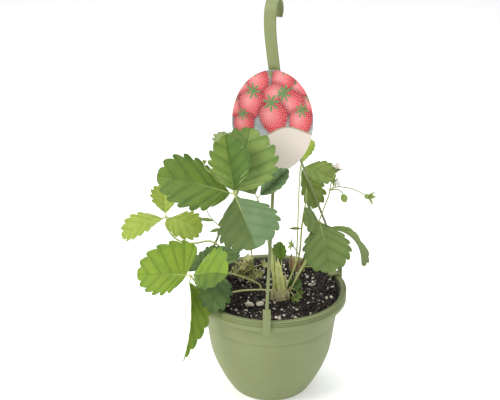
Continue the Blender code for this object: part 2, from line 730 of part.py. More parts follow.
def spray_right():
    """The tall spray: two flowers, a nodding bud, a spent calyx and a side stem."""
    fork = (0.0708, 0.006, 0.2655)
    pieces = [
        main_stem("spray_right", 0.8, (0.025, -0.010, 0.146), (0.036, -0.005, 0.163),
                  (0.045, 0.000, 0.181), (0.053, 0.003, 0.202), (0.060, 0.006, 0.228),
                  (0.070, 0.006, 0.259), (0.071, 0.006, 0.267)),
        pedicel(fork, (0.0725, 0.005, 0.275), (0.0770, 0.003, 0.290)),
        pedicel(fork, (0.0745, 0.000, 0.272), (0.0745, -0.004, 0.279)),
        pedicel(fork, (0.0790, 0.001, 0.2690), (0.0845, -0.003, 0.2675),
                (0.0865, -0.004, 0.2640), spacing=0.006),
        pedicel(fork, (0.0800, 0.008, 0.2695), (0.0960, 0.008, 0.2675),
                (0.1080, 0.008, 0.2625), (0.1170, 0.008, 0.2570), spacing=0.010),
        tube("side", [(0.0385, -0.0035, 0.1675), (0.0470, -0.003, 0.1665),
                      (0.0560, -0.002, 0.1670)], 0.0008, 0.7),
        berry("bud", (0.0880, -0.0042, 0.2595), (0.3, 0.0, -1.0), 0.0042, 0.011),
    ]
    for centre, axis, size, _ in FLOWERS.values():
        pieces += flower_calyx(centre, axis, size, 34)
    pieces += flower_calyx((0.1180, 0.0080, 0.2565), (0.9, 0.0, -0.25), 0.0120, 40, 0.5)
    return fuse("spray_right", pieces, "stem")


def spray_middle():
    """The thick middle stem with a bract and an old calyx on an arching stalk."""
    pieces = [
        main_stem("spray_middle", 0.75, (0.020, -0.004, 0.140), (0.032, 0.010, 0.166),
                  (0.036, 0.012, 0.180), (0.038, 0.014, 0.212), (0.040, 0.014, 0.230),
                  (0.0427, 0.0115, 0.251), (0.0426, 0.0115, 0.266)),
        bract((0.0375, 0.0140, 0.211), (0.022, 0.008, 0.2135), 0.0045),
        pedicel((0.0352, 0.0120, 0.1745), (0.0310, 0.0095, 0.1840),
                (0.0265, 0.0060, 0.1915)),
    ]
    pieces += flower_calyx((0.0258, 0.0055, 0.1925), (-0.9, -0.3, 0.3), 0.0075, 20)
    return fuse("spray_middle", pieces, "stem")


def spray_left():
    """The thin left stem with two bracts and a tiny bud."""
    pieces = [
        main_stem("spray_left", 0.75, (-0.044, 0.036, 0.150), (-0.0575, 0.035, 0.189),
                  (-0.063, 0.030, 0.205), (-0.068, 0.028, 0.211), (-0.079, 0.022, 0.229),
                  (-0.083, 0.016, 0.262), (-0.082, 0.012, 0.298)),
        bract((-0.072, 0.0255, 0.2165), (-0.091, 0.030, 0.2175)),
        bract((-0.0625, 0.0300, 0.2035), (-0.077, 0.026, 0.2010)),
    ]
    pieces += flower_calyx((-0.082, 0.012, 0.299), (0.0, -0.2, 1.0), 0.0045, 60)
    return fuse("spray_left", pieces, "stem")


def spray_low():
    """The low spray of old calyces on thin stalks beside the left crown."""
    fork = (-0.0205, 0.0400, 0.1415)
    ends = (((-0.0278, 0.0320, 0.1604), (-0.2, -0.3, 1.0)),
            ((-0.0431, 0.0220, 0.1483), (-1.0, -0.4, 0.3)),
            ((-0.0156, 0.0230, 0.1440), (0.2, -1.0, 0.4)))
    pieces = [main_stem("spray_low", 0.9, (-0.0240, 0.0480, 0.1390), fork)]
    for end, axis in ends:
        middle = (Vector(fork) + Vector(end)) / 2 + Vector((0.0, 0.0, 0.0030))
        pieces.append(pedicel(fork, middle, end))
        pieces += flower_calyx(end, axis, 0.0075, 25)
    return fuse("spray_low", pieces, "stem")


def flowers():
    """The white petals of each flower, and the open one's yellow middle."""
    for name, (centre, axis, size, lift) in FLOWERS.items():
        axis = Vector(axis).normalized()
        seat = Vector(centre) + axis * 0.0019
        bm = bmesh.new()
        bmesh.ops.create_cone(bm, cap_ends=True, segments=10, radius1=0.0013,
                              radius2=0.0018, depth=0.0011)
        disc = mesh_object("disc", bm)
        disc.matrix_world = (Matrix.Translation(seat)
                             @ axis.to_track_quat("Z", "Y").to_matrix().to_4x4())
        pieces = [as_mesh(disc)]
        for blade in star(seat, axis, 5, size, size * 0.55, lift, 0.6, 0.0009,
                          blunt=0.45, wedge=0.9, fold=-8.0, rows=3):
            pieces.append(blade_sheet("petal", Vector(blade.base), blade, 0.0006))
        fuse(f"petals_{name}", pieces, "petal")
    centre, axis, *_ = FLOWERS["open"]
    axis = Vector(axis).normalized()
    eye = berry("eye_open", Vector(centre) + axis * 0.0043, axis, 0.0012, 0.0024)
    eye.data.materials.append(material("eye"))


def crowns():
    """The short woody crowns with the old leaf bases that sheathe them."""
    for name, (x, y, radius) in CROWNS.items():
        bm = bmesh.new()
        bmesh.ops.create_cone(bm, cap_ends=True, segments=12, radius1=radius,
                              radius2=radius * 0.62, depth=CROWN_TOP - ROOT_Z)
        stub = mesh_object(name, bm)
        stub.location = (x, y, (CROWN_TOP + ROOT_Z) / 2)
        pieces = [as_mesh(stub)]
        top = Vector((x, y, CROWN_TOP - 0.0035))
        for blade in star(top, (0, 0, 1), CROWN_SCALES, 0.012, radius * 1.05, 80, 0.4,
                          radius * 0.55, blunt=0.8, wedge=0.3):
            pieces.append(blade_sheet("scale", Vector(blade.base), blade))
        fuse(name, pieces, "crown")


def perlite(ground):
    """The two large white perlite lumps, each resting on the soil."""
    for index, (x, y, size) in enumerate(PERLITE):
        bm = bmesh.new()
        bmesh.ops.create_icosphere(bm, subdivisions=2, radius=1.0)
        for vert in bm.verts:
            vert.co *= 1.0 + 0.28 * noise.noise(vert.co * 1.4 + Vector((index, 0.0, 5.0)))
            vert.co = Vector((x, y, 0.0)) + vert.co * Vector(size)
        drop = 1.0
        for vert in bm.verts:
            start = Vector((vert.co.x, vert.co.y, POT_H))
            hit, place, _, _ = ground.ray_cast(start, Vector((0.0, 0.0, -1.0)))
            if hit:
                drop = min(drop, vert.co.z - place.z)
        bmesh.ops.translate(bm, verts=bm.verts, vec=(0.0, 0.0, GAP - drop))
        lump = mesh_object(f"perlite_{index}", bm)
        lump.data.materials.append(material("perlite"))


def stem_holes():
    """Plan place and radius of each hole in the soil."""
    holes = [(x, y, radius + CROWN_HOLE) for x, y, radius in CROWNS.values()]
    for spec in LEAVES:
        x, y, _ = spec.stalk[0]
        holes.append((x, y, spec.radius + STEM_HOLE))
    for crown, bearing, radius in SPRAY_ROOTS.values():
        holes.append((*crown_spot(crown, bearing), radius + STEM_HOLE))
    return holes


def main():
    for obj in list(bpy.data.objects):
        bpy.data.objects.remove(obj)
    collection(PARTS)
    pot()
    perlite(soil(stem_holes()))
    hanger()
    card()
    crowns()
    for spec in LEAVES:
        leaf(spec)
    spray_right()
    spray_middle()
    spray_left()
    spray_low()
    flowers()
    for obj in collection(CUTTERS).objects:
        obj.hide_render = True
        obj.display_type = "WIRE"


main()
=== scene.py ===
"""Potted strawberry plant: the fine forms and the finishes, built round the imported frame.

Every piece is made in the frame's own coordinates, in metres with +Z up and the origin
at the centre of the pot's base, and takes the place of the plain solid that it refines.
"""

import logging
import math
import random
from dataclasses import dataclass
from enum import Enum
from typing import Callable, Sequence

import bpy
from bpy.types import Material, Node, NodeSocket, NodeTree, Object
from mathutils import Matrix, Vector, noise


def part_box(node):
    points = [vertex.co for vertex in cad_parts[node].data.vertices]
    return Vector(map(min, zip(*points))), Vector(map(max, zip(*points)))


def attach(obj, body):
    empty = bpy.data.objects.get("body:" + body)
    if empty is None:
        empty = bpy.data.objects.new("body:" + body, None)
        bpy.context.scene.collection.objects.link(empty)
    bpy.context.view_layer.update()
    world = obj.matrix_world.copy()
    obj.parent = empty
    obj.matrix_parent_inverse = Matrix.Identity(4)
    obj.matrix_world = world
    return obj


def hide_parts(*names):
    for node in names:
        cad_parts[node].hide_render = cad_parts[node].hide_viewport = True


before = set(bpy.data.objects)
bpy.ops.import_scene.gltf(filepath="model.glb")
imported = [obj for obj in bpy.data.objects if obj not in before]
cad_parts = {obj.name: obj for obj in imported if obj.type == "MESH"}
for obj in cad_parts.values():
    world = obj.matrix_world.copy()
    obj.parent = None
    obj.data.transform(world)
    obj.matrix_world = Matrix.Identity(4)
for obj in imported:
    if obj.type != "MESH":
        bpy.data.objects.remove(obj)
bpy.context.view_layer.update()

LOG = logging.getLogger("strawberry_plant")
BODY = "root"
UP = Vector((0.0, 0.0, 1.0))
MM = 0.001

_, POT_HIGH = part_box("pot")
RIM_R = POT_HIGH.x                # outer radius of the rolled rim
POT_H = POT_HIGH.z                # height of the rim
SOIL_Z = POT_H - 5.5 * MM         # mean level of the compost
WALL_REACH = RIM_R - 5.7 * MM     # radius inside which the pot meets the soil
GAP = 0.3 * MM                    # clearance between neighbouring pieces
SEAM = 1e-6                       # distance within which two points are one

Point = Sequence[float]


# --- small tools ------------------------------------------------------------

def linear(code: str) -> tuple[float, float, float, float]:
    """Turns an sRGB hex colour into a linear one.

    Args:
        code: the colour as "#rrggbb".

    Returns:
        Red, green, blue and an alpha of one.
    """
    shares = [int(code[start:start + 2], 16) / 255.0 for start in (1, 3, 5)]
    red, green, blue = (share / 12.92 if share <= 0.04045
                        else ((share + 0.055) / 1.055) ** 2.4 for share in shares)
    return red, green, blue, 1.0


def add_node(tree: NodeTree, kind: str, *values: object, **settings: object) -> Node:
    """Adds a node to a tree with its settings, values and links.

    Args:
        tree: the material's or group's node tree.
        kind: the node's type, without the "ShaderNode" that most of them start with.
        *values: what goes into its first inputs, in their order, or one dictionary of
            it by the inputs' names or numbers. A socket is linked, and a node stands
            for its first output.
        **settings: the node's own settings.

    Returns:
        The new node.
    """
    made = tree.nodes.new(kind if kind.startswith("NodeGroup") else "ShaderNode" + kind)
    for name, value in settings.items():
        setattr(made, name, value)
    named_ones = bool(values) and isinstance(values[0], dict)
    for key, value in (values[0] if named_ones else dict(enumerate(values))).items():
        source = value.outputs[0] if isinstance(value, Node) else value
        if isinstance(source, NodeSocket):
            tree.links.new(source, made.inputs[key])
        else:
            made.inputs[key].default_value = source
    return made


def new_material(name: str) -> tuple[Material, NodeTree]:
    """Starts a material with no nodes.

    Args:
        name: the real material's name.

    Returns:
        The material and its empty node tree.
    """
    made = bpy.data.materials.new(name)
    made.use_nodes = True
    made.node_tree.nodes.clear()
    return made, made.node_tree


MIX_FACTOR, MIX_A, MIX_B, MIX_OUT = 0, 6, 7, 2      # a colour Mix node's own sockets


def layered(tree: NodeTree, colour: NodeSocket | str,
            *layers: tuple[Node | NodeSocket, NodeSocket | str]) -> NodeSocket:
    """Lays colours over one another, each as far as its mask lets it show.

    Args:
        tree: the tree.
        colour: the lowest colour, as a hex code or the socket that gives it.
        *layers: the mask and the colour of each layer, from the lowest up.

    Returns:
        The socket that gives the colour of them all.
    """
    for mask, over in layers:
        pair = [linear(tint) if isinstance(tint, str) else tint for tint in (colour, over)]
        colour = add_node(tree, "Mix", {MIX_FACTOR: mask, MIX_A: pair[0], MIX_B: pair[1]},
                          data_type="RGBA").outputs[MIX_OUT]
    return colour


def surface(tree: NodeTree, colour: NodeSocket | tuple, roughness: Node | float,
            height: Node | None = None, depth: float = 0.0002,
            **constants: float | tuple) -> None:
    """Ends a tree with a Principled shader, its bump and the output.

    Args:
        tree: the material's node tree.
        colour: the base colour, or the socket that gives it.
        roughness: the roughness, or the node that gives it.
        height: the node that gives the bump's height, from 0 to 1.
        depth: the bump's full height in metres.
        **constants: other values of the shader, set on its own sockets, with "_" for a
            space in their names.
    """
    values = {"Base Color": colour, "Roughness": roughness}
    values |= {name.replace("_", " "): value for name, value in constants.items()}
    if height:
        values["Normal"] = add_node(tree, "Bump", {
            "Height": height, "Distance": depth, "Strength": 1.0})
    add_node(tree, "OutputMaterial", {"Surface": add_node(tree, "BsdfPrincipled", values)})


def only(obj: Object) -> None:
    """Makes an object the only one selected, and the active one.

    Args:
        obj: the object.
    """
    bpy.ops.object.select_all(action="DESELECT")
    obj.select_set(True)
    bpy.context.view_layer.objects.active = obj


def named(name: str) -> Object:
    """Names the object that was just added, and its data.

    Args:
        name: the name.

    Returns:
        The object.
    """
    made = bpy.context.active_object
    made.name = made.data.name = name
    return made


def coated(obj: Object, material: Material) -> Object:
    """Gives a mesh one material, in place of any that it had.

    Args:
        obj: the mesh object.
        material: its finish.

    Returns:
        The object.
    """
    obj.data.materials.clear()
    obj.data.materials.append(material)
    return obj


def apply_modifier(obj: Object, kind: str, **settings: object) -> None:
    """Adds a modifier to a mesh object and applies it at once.

    Args:
        obj: the mesh object.
        kind: the modifier's type.
        **settings: the modifier's settings.
    """
    only(obj)
    step = obj.modifiers.new(kind.lower(), kind)
    for name, value in settings.items():
        setattr(step, name, value)
    bpy.ops.object.modifier_apply(modifier=step.name)


def cut(obj: Object, tool: Object) -> None:
    """Cuts a closed tool's shape out of a mesh, and removes the tool."""
    apply_modifier(obj, "BOOLEAN", operation="DIFFERENCE", object=tool, solver="EXACT")
    bpy.data.objects.remove(tool)


def joined(name: str, pieces: Sequence[Object]) -> Object:
    """Joins mesh objects into one.

    Args:
        name: the new name.
        pieces: the objects, of which the first keeps its place.

    Returns:
        The joined object.
    """
    only(pieces[0])
    for piece in pieces:
        piece.select_set(True)
    if len(pieces) > 1:
        bpy.ops.object.join()
    return named(name)


def united(name: str, pieces: Sequence[Object]) -> Object:
    """Joins overlapping closed meshes into one closed skin.

    Args:
        name: the new name.
        pieces: the objects.

    Returns:
        The united object.
    """
    first, *others = pieces
    group = bpy.data.collections.new("operands")
    for other in others:
        group.objects.link(other)
    apply_modifier(first, "BOOLEAN", operation="UNION", operand_type="COLLECTION",
                   solver="EXACT", collection=group)
    for other in others:
        bpy.data.objects.remove(other)
    bpy.data.collections.remove(group)
    only(first)
    return named(name)


def smooth(obj: Object, angle: float = 40.0) -> Object:
    """Shades a mesh smooth, with its edges sharp past an angle.

    Args:
        obj: the mesh object.
        angle: the angle in degrees.

    Returns:
        The object.
    """
    only(obj)
    bpy.ops.object.shade_smooth_by_angle(angle=math.radians(angle))
    return obj


def finished(obj: Object, slot: str, nodes: Sequence[str] = ()) -> Object:
    """Hands a piece over to the frame.

    Args:
        obj: the piece, in place.
        slot: the record's material slot that it belongs to; not used.
        nodes: the plain solids that it stands for.

    Returns:
        The piece.
    """
    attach(obj, BODY)
    if nodes:
        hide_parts(*nodes)
    LOG.info("%s: %d faces", obj.name, len(obj.data.polygons))
    return obj


def sheet(name: str, columns: int, rows: int,
          place: Callable[[float, float], Vector]) -> Object:
    """A grid of quads with each point placed by its two shares, from -1 to 1.

    Args:
        name: the object's name.
        columns: faces across.
        rows: faces along.
        place: gives a point's place from its share across and along.

    Returns:
        The sheet, whose UV map runs from 0 to 1 across and along.
    """
    bpy.ops.object.select_all(action="DESELECT")
    bpy.ops.mesh.primitive_grid_add(x_subdivisions=columns, y_subdivisions=rows, size=2.0)
    made = named(name)
    for vert in made.data.vertices:
        vert.co = place(vert.co.x, vert.co.y)
    return made


def closed(obj: Object) -> Object:
    """Merges a mesh's seam, fills its open ends and turns its faces outwards.

    Args:
        obj: the mesh object.

    Returns:
        The object.
    """
    only(obj)
    bpy.ops.object.mode_set(mode="EDIT")
    bpy.ops.mesh.select_all(action="SELECT")
    bpy.ops.mesh.remove_doubles(threshold=SEAM)
    bpy.ops.mesh.select_all(action="SELECT")
    bpy.ops.mesh.fill_holes(sides=0)
    bpy.ops.mesh.select_all(action="SELECT")
    bpy.ops.mesh.normals_make_consistent(inside=False)
    bpy.ops.object.mode_set(mode="OBJECT")
    return obj


def smooth_path(points: Sequence[Point], spacing: float) -> list[Vector]:
    """Points on a smooth curve through the given ones.

    Args:
        points: the places that the curve passes.
        spacing: the distance between the new points, about.

    Returns:
        The curve's points.
    """
    knots = [Vector(point) for point in points]
    ends = [2 * knots[0] - knots[1], *knots, 2 * knots[-1] - knots[-2]]
    path = []
    for before, start, end, after in zip(ends, ends[1:], ends[2:], ends[3:]):
        steps = max(1, round((end - start).length / spacing))
        for step in range(steps):
            t = step / steps
            path.append(0.5 * (2 * start + (end - before) * t
                               + (2 * before - 5 * start + 4 * end - after) * t ** 2
                               + (3 * start - before - 3 * end + after) * t ** 3))
    return [*path, knots[-1]]


def swept(name: str, path: Sequence[Vector], section: Callable[[float], list[tuple]],
          across: Vector | None = None) -> Object:
    """A closed bar whose section follows a path.

    Args:
        name: the object's name.
        path: the points of its centre line.
        section: gives the outline, anticlockwise, at a share of the length, in the
            direction across and the one square to it.
        across: the direction across, where it stays the same along the bar.

    Returns:
        The bar. Its UV map runs round it from 0 to 1 and along it in metres.
    """
    last = len(path) - 1
    runs = [(path[min(index + 1, last)] - path[max(index - 1, 0)]).normalized()
            for index in range(last + 1)]
    side = across or runs[0].orthogonal().normalized()
    rings = []
    for index, (place, run) in enumerate(zip(path, runs)):
        if not across:
            side = (side - side.dot(run) * run).normalized()
        normal = side.cross(run).normalized() * -1.0
        rings.append([place + side * x + normal * y for x, y in section(index / last)])
    count = len(rings[0])

    def spot(u: float, v: float) -> Vector:
        """The ring's point at the shares round and along."""
        ring = rings[round((v + 1.0) / 2.0 * last)]
        return ring[round((u + 1.0) / 2.0 * count) % count]

    made = sheet(name, count, last, spot)
    length = sum((end - start).length for start, end in zip(path, path[1:]))
    for loop in made.data.uv_layers.active.data:
        loop.uv.y *= length
    return closed(made)


def round_section(radius: Callable[[float], float], sides: int) -> Callable[[float], list]:
    """A round section whose radius changes along the bar.

    Args:
        radius: gives the radius at a share of the length.
        sides: points round it.

    Returns:
        The section's function, for a swept bar.
    """
    def section(share: float) -> list[tuple]:
        """The round outline at a share of the length."""
        turns = [2 * math.pi * index / sides for index in range(sides)]
        size = radius(share)
        return [(size * math.cos(turn), size * math.sin(turn)) for turn in turns]
    return section


def strap_section(width: float, thickness: float, edge: float) -> Callable[[float], list]:
    """The section of a flat strap with rounded edges.

    Args:
        width: the strap's width.
        thickness: its thickness.
        edge: the radius of its edges.

    Returns:
        The section's function, for a swept bar.
    """
    corners = [(1, 1), (-1, 1), (-1, -1), (1, -1)]
    outline = []
    for index, (x, y) in enumerate(corners):
        for step in range(4):
            turn = math.radians(90 * index + 30 * step)
            outline.append((x * (width / 2 - edge) + edge * math.cos(turn),
                            y * (thickness / 2 - edge) + edge * math.sin(turn)))
    return lambda share: outline


def plate(name: str, outline: Sequence[tuple], thickness: float,
          edge: float, steps: int = 2) -> Object:
    """A flat plate of any outline, in local X and Y, with bevelled edges.

    Args:
        name: the object's name.
        outline: its corners, anticlockwise.
        thickness: its thickness, which lies evenly about local Z 0.
        edge: the width of the bevel.
        steps: the bevel's segments.

    Returns:
        The plate.
    """
    bpy.ops.object.select_all(action="DESELECT")
    bpy.ops.mesh.primitive_circle_add(vertices=len(outline), radius=1.0, fill_type="NGON")
    made = named(name)
    for vert, (x, y) in zip(made.data.vertices, outline):
        vert.co = (x, y, -thickness / 2)
    bpy.ops.object.mode_set(mode="EDIT")
    bpy.ops.mesh.select_all(action="SELECT")
    bpy.ops.mesh.extrude_region_move(TRANSFORM_OT_translate={"value": (0, 0, thickness)})
    bpy.ops.mesh.select_all(action="SELECT")
    bpy.ops.mesh.normals_make_consistent(inside=False)
    bpy.ops.object.mode_set(mode="OBJECT")
    apply_modifier(made, "BEVEL", width=edge, segments=steps, limit_method="ANGLE",
                   angle_limit=math.radians(28))
    return made


def turned(name: str, profile: Sequence[tuple], segments: int) -> Object:
    """A closed body turned round the Z axis.

    Args:
        name: the object's name.
        profile: radius and height of each ring, from one small ring on the axis to
            the other.
        segments: faces round it.

    Returns:
        The body.
    """
    (radius, height), *rest = profile
    bpy.ops.object.select_all(action="DESELECT")
    bpy.ops.mesh.primitive_circle_add(vertices=segments, radius=radius,
                                      location=(0.0, 0.0, height))
    made = named(name)
    bpy.ops.object.transform_apply(location=True)
    bpy.ops.object.mode_set(mode="EDIT")
    bpy.ops.mesh.select_all(action="SELECT")
    for wide, high in rest:
        rise = (0.0, 0.0, high - height)
        bpy.ops.mesh.extrude_region_move(TRANSFORM_OT_translate={"value": rise})
        bpy.ops.transform.resize(value=(wide / radius, wide / radius, 1.0),
                                 center_override=(0.0, 0.0, high))
        radius, height = wide, high
    bpy.ops.object.mode_set(mode="OBJECT")
    return closed(made)


def placed(obj: Object, place: Matrix) -> Object:
    """Moves an object's mesh by a matrix, and leaves its origin where it is."""
    obj.data.transform(place)
    return obj


def scattered(name: str, kinds: Sequence[Object],
              places: Sequence[tuple[int, Matrix]]) -> Object:
    """One mesh of many copies of a few small models, which are then removed.

    Args:
        name: the new object's name.
        kinds: the models, each at the origin.
        places: which model each copy is of, and where it goes.

    Returns:
        The object.
    """
    points, faces = [], []
    for kind, place in places:
        mesh = kinds[kind].data
        start = len(points)
        points += [place @ vert.co for vert in mesh.vertices]
        faces += [[start + corner for corner in face.vertices] for face in mesh.polygons]
    mesh = bpy.data.meshes.new(name)
    mesh.from_pydata(points, [], faces)
    mesh.validate()
    made = bpy.data.objects.new(name, mesh)
    bpy.context.scene.collection.objects.link(made)
    for kind in kinds:
        bpy.data.objects.remove(kind)
    return made


def lump(name: str, detail: int, roughness: float, seed: float) -> Object:
    """An irregular grain of about unit radius.

    Args:
        name: the object's name.
        detail: subdivisions of the ball that it starts as.
        roughness: how far its surface leaves the ball.
        seed: picks its shape.

    Returns:
        The grain.
    """
    bpy.ops.object.select_all(action="DESELECT")
    bpy.ops.mesh.primitive_ico_sphere_add(subdivisions=detail, radius=1.0)
    made = named(name)
    for vert in made.data.vertices:
        spot = vert.co * 1.4 + Vector((seed, 0.0, 5.0))
        vert.co *= 1.0 + roughness * (noise.noise(spot) + 0.5 * noise.noise(spot * 2.3))
    return made


def ball(name: str, segments: int, rings: int, radius: float) -> Object:
    """A ball at the origin.

    Args:
        name: the object's name.
        segments: faces round it.
        rings: faces from pole to pole.
        radius: its radius.

    Returns:
        The ball.
    """
    bpy.ops.object.select_all(action="DESELECT")
    bpy.ops.mesh.primitive_uv_sphere_add(segments=segments, ring_count=rings, radius=radius)
    return named(name)


def stretch(x: float, y: float, z: float) -> Matrix:
    """The matrix that scales along each axis."""
    return Matrix.Diagonal((x, y, z, 1.0))


def turn_to(axis: Vector) -> Matrix:
    """The rotation that turns +Z to an axis."""
    return Vector(axis).to_track_quat("Z", "Y").to_matrix().to_4x4()


# --- finishes ---------------------------------------------------------------

@dataclass(frozen=True)
class MouldedPolypropylene:
    """Injection-moulded polypropylene with a fine matt grain, slightly waxy."""

    name: str = "moulded polypropylene, sage"
    body: str = "#828d5c"
    shade: str = "#777f52"
    bloom: str = "#9ca778"           # chalky bloom where the moulding was handled
    soil_stain_and_shade: str = "#2a2620"           # wet soil on the inner wall, painted nearly black as the shade under the rim
    roughness: float = 0.52
    cloud_mm: float = 45.0
    rub_mm: float = 10.5
    grain_mm: float = 0.9
    relief: float = 0.08 * MM         # height of the grain
    stain_and_shade_top: tuple = (SOIL_Z + 0.8 * MM, SOIL_Z + 2.6 * MM)     # full below, none above
    stain_and_shade_foot: float = POT_H - 9.0 * MM      # under it the wall is the bowl's outside

    def material(self) -> Material:
        """Makes the material: cloudy tint, rubbed patches, soil stains with painted shade on the inner
        wall, and a fine grain.

        Returns:
            The material.
        """
        made, tree = new_material(self.name)
        spot = add_node(tree, "TexCoord").outputs["Object"]
        cloud = add_node(tree, "TexNoise", {
            "Vector": spot, "Scale": 1.0 / (self.cloud_mm * MM), "Detail": 4.0})
        rub = add_node(tree, "TexNoise", {
            "Vector": spot, "Scale": 1.0 / (self.rub_mm * MM), "Detail": 6.0,
            "Roughness": 0.7})
        patch = add_node(tree, "MapRange", rub, 0.6, 0.78, 0.0, 0.35)
        grain = add_node(tree, "TexNoise", {
            "Vector": spot, "Scale": 1.0 / (self.grain_mm * MM), "Detail": 3.0})
        gloss = add_node(tree, "MapRange", cloud, 0.0, 1.0, self.roughness - 0.08, self.roughness + 0.08)
        # the last layer is soil stain and painted shade, nearly black, on the inner wall above the
        # compost
        colour = layered(tree, self.body, (cloud, self.shade), (patch, self.bloom),
                         (self.stain_and_shade_mask(tree, spot, rub), self.soil_stain_and_shade))
        surface(tree, colour, gloss, grain, self.relief, IOR=1.49)
        return made

    def stain_and_shade_mask(self, tree: NodeTree, spot: NodeSocket, ragged: Node) -> Node:
        """Makes the mask of the wet soil and the painted shade on the inner wall, just above the
        compost.

        Args:
            tree: the material's node tree.
            spot: the socket that gives the place.
            ragged: the pattern that its upper edge wanders with.

        Returns:
            The node that gives the mask.
        """
        flat = add_node(tree, "VectorMath", spot, (1.0, 1.0, 0.0), operation="MULTIPLY")
        reach = add_node(tree, "VectorMath", flat, operation="LENGTH").outputs["Value"]
        inside = add_node(tree, "MapRange", reach, WALL_REACH - 0.4 * MM, WALL_REACH, 1.0, 0.0)
        height = add_node(tree, "SeparateXYZ", spot).outputs["Z"]
        above = add_node(tree, "Math", height, self.stain_and_shade_foot, operation="GREATER_THAN")
        edge = add_node(tree, "Math", ragged, -5.0 * MM, height, operation="MULTIPLY_ADD")
        low = add_node(tree, "MapRange", edge, self.stain_and_shade_top[0], self.stain_and_shade_top[1], 0.92, 0.0)
        wet = add_node(tree, "Math", inside, low, operation="MULTIPLY")
        return add_node(tree, "Math", wet, above, operation="MULTIPLY")


@dataclass(frozen=True)
class PottingSoil:
    """Damp peat and bark compost: nearly black, with brown crumbs."""

    name: str = "peat compost"
    peat: str = "#171413"
    crumb: str = "#493f35"
    wet: str = "#0d0b0a"
    roughness: float = 0.92
    crumb_mm: float = 2.4
    damp_mm: float = 16.0
    grit_mm: float = 1.4
    relief: float = 1.3 * MM          # height of the grit

    def material(self) -> Material:
        """Makes the material: crumbs of several browns over dark peat.

        Returns:
            The material.
        """
        made, tree = new_material(self.name)
        spot = add_node(tree, "TexCoord").outputs["Object"]
        cells = add_node(tree, "TexVoronoi", {
            "Vector": spot, "Scale": 1.0 / (self.crumb_mm * MM)})
        crumbs = add_node(tree, "MapRange", cells.outputs["Color"], 0.45, 0.95)
        damp = add_node(tree, "TexNoise", {
            "Vector": spot, "Scale": 1.0 / (self.damp_mm * MM), "Detail": 5.0})
        wet = add_node(tree, "MapRange", damp, 0.5, 0.7, 0.0, 0.8)
        grit = add_node(tree, "TexNoise", {
            "Vector": spot, "Scale": 1.0 / (self.grit_mm * MM), "Detail": 8.0})
        colour = layered(tree, self.peat, (crumbs, self.crumb), (wet, self.wet))
        surface(tree, colour, self.roughness, grit, self.relief)
        return made


@dataclass(frozen=True)
class PlainFinish:
    """A matt natural surface of two tints that drift into each other."""

    name: str
    body: str
    drift: str
    roughness: float
    spread_mm: float = 3.3            # size of the drifting patches
    relief: float = 0.0001            # height of its fine relief
    fine_mm: float = 0.7              # size of the relief's grains

    def material(self) -> Material:
        """Makes the material.

        Returns:
            The material.
        """
        made, tree = new_material(self.name)
        spot = add_node(tree, "TexCoord").outputs["Object"]
        cloud = add_node(tree, "TexNoise", {
            "Vector": spot, "Scale": 1.0 / (self.spread_mm * MM), "Detail": 4.0})
        share = add_node(tree, "MapRange", cloud, 0.3, 0.7)
        fine = add_node(tree, "TexNoise", {
            "Vector": spot, "Scale": 1.0 / (self.fine_mm * MM), "Detail": 3.0})
        surface(tree, layered(tree, self.body, (share, self.drift)), self.roughness, fine,
                self.relief)
        return made


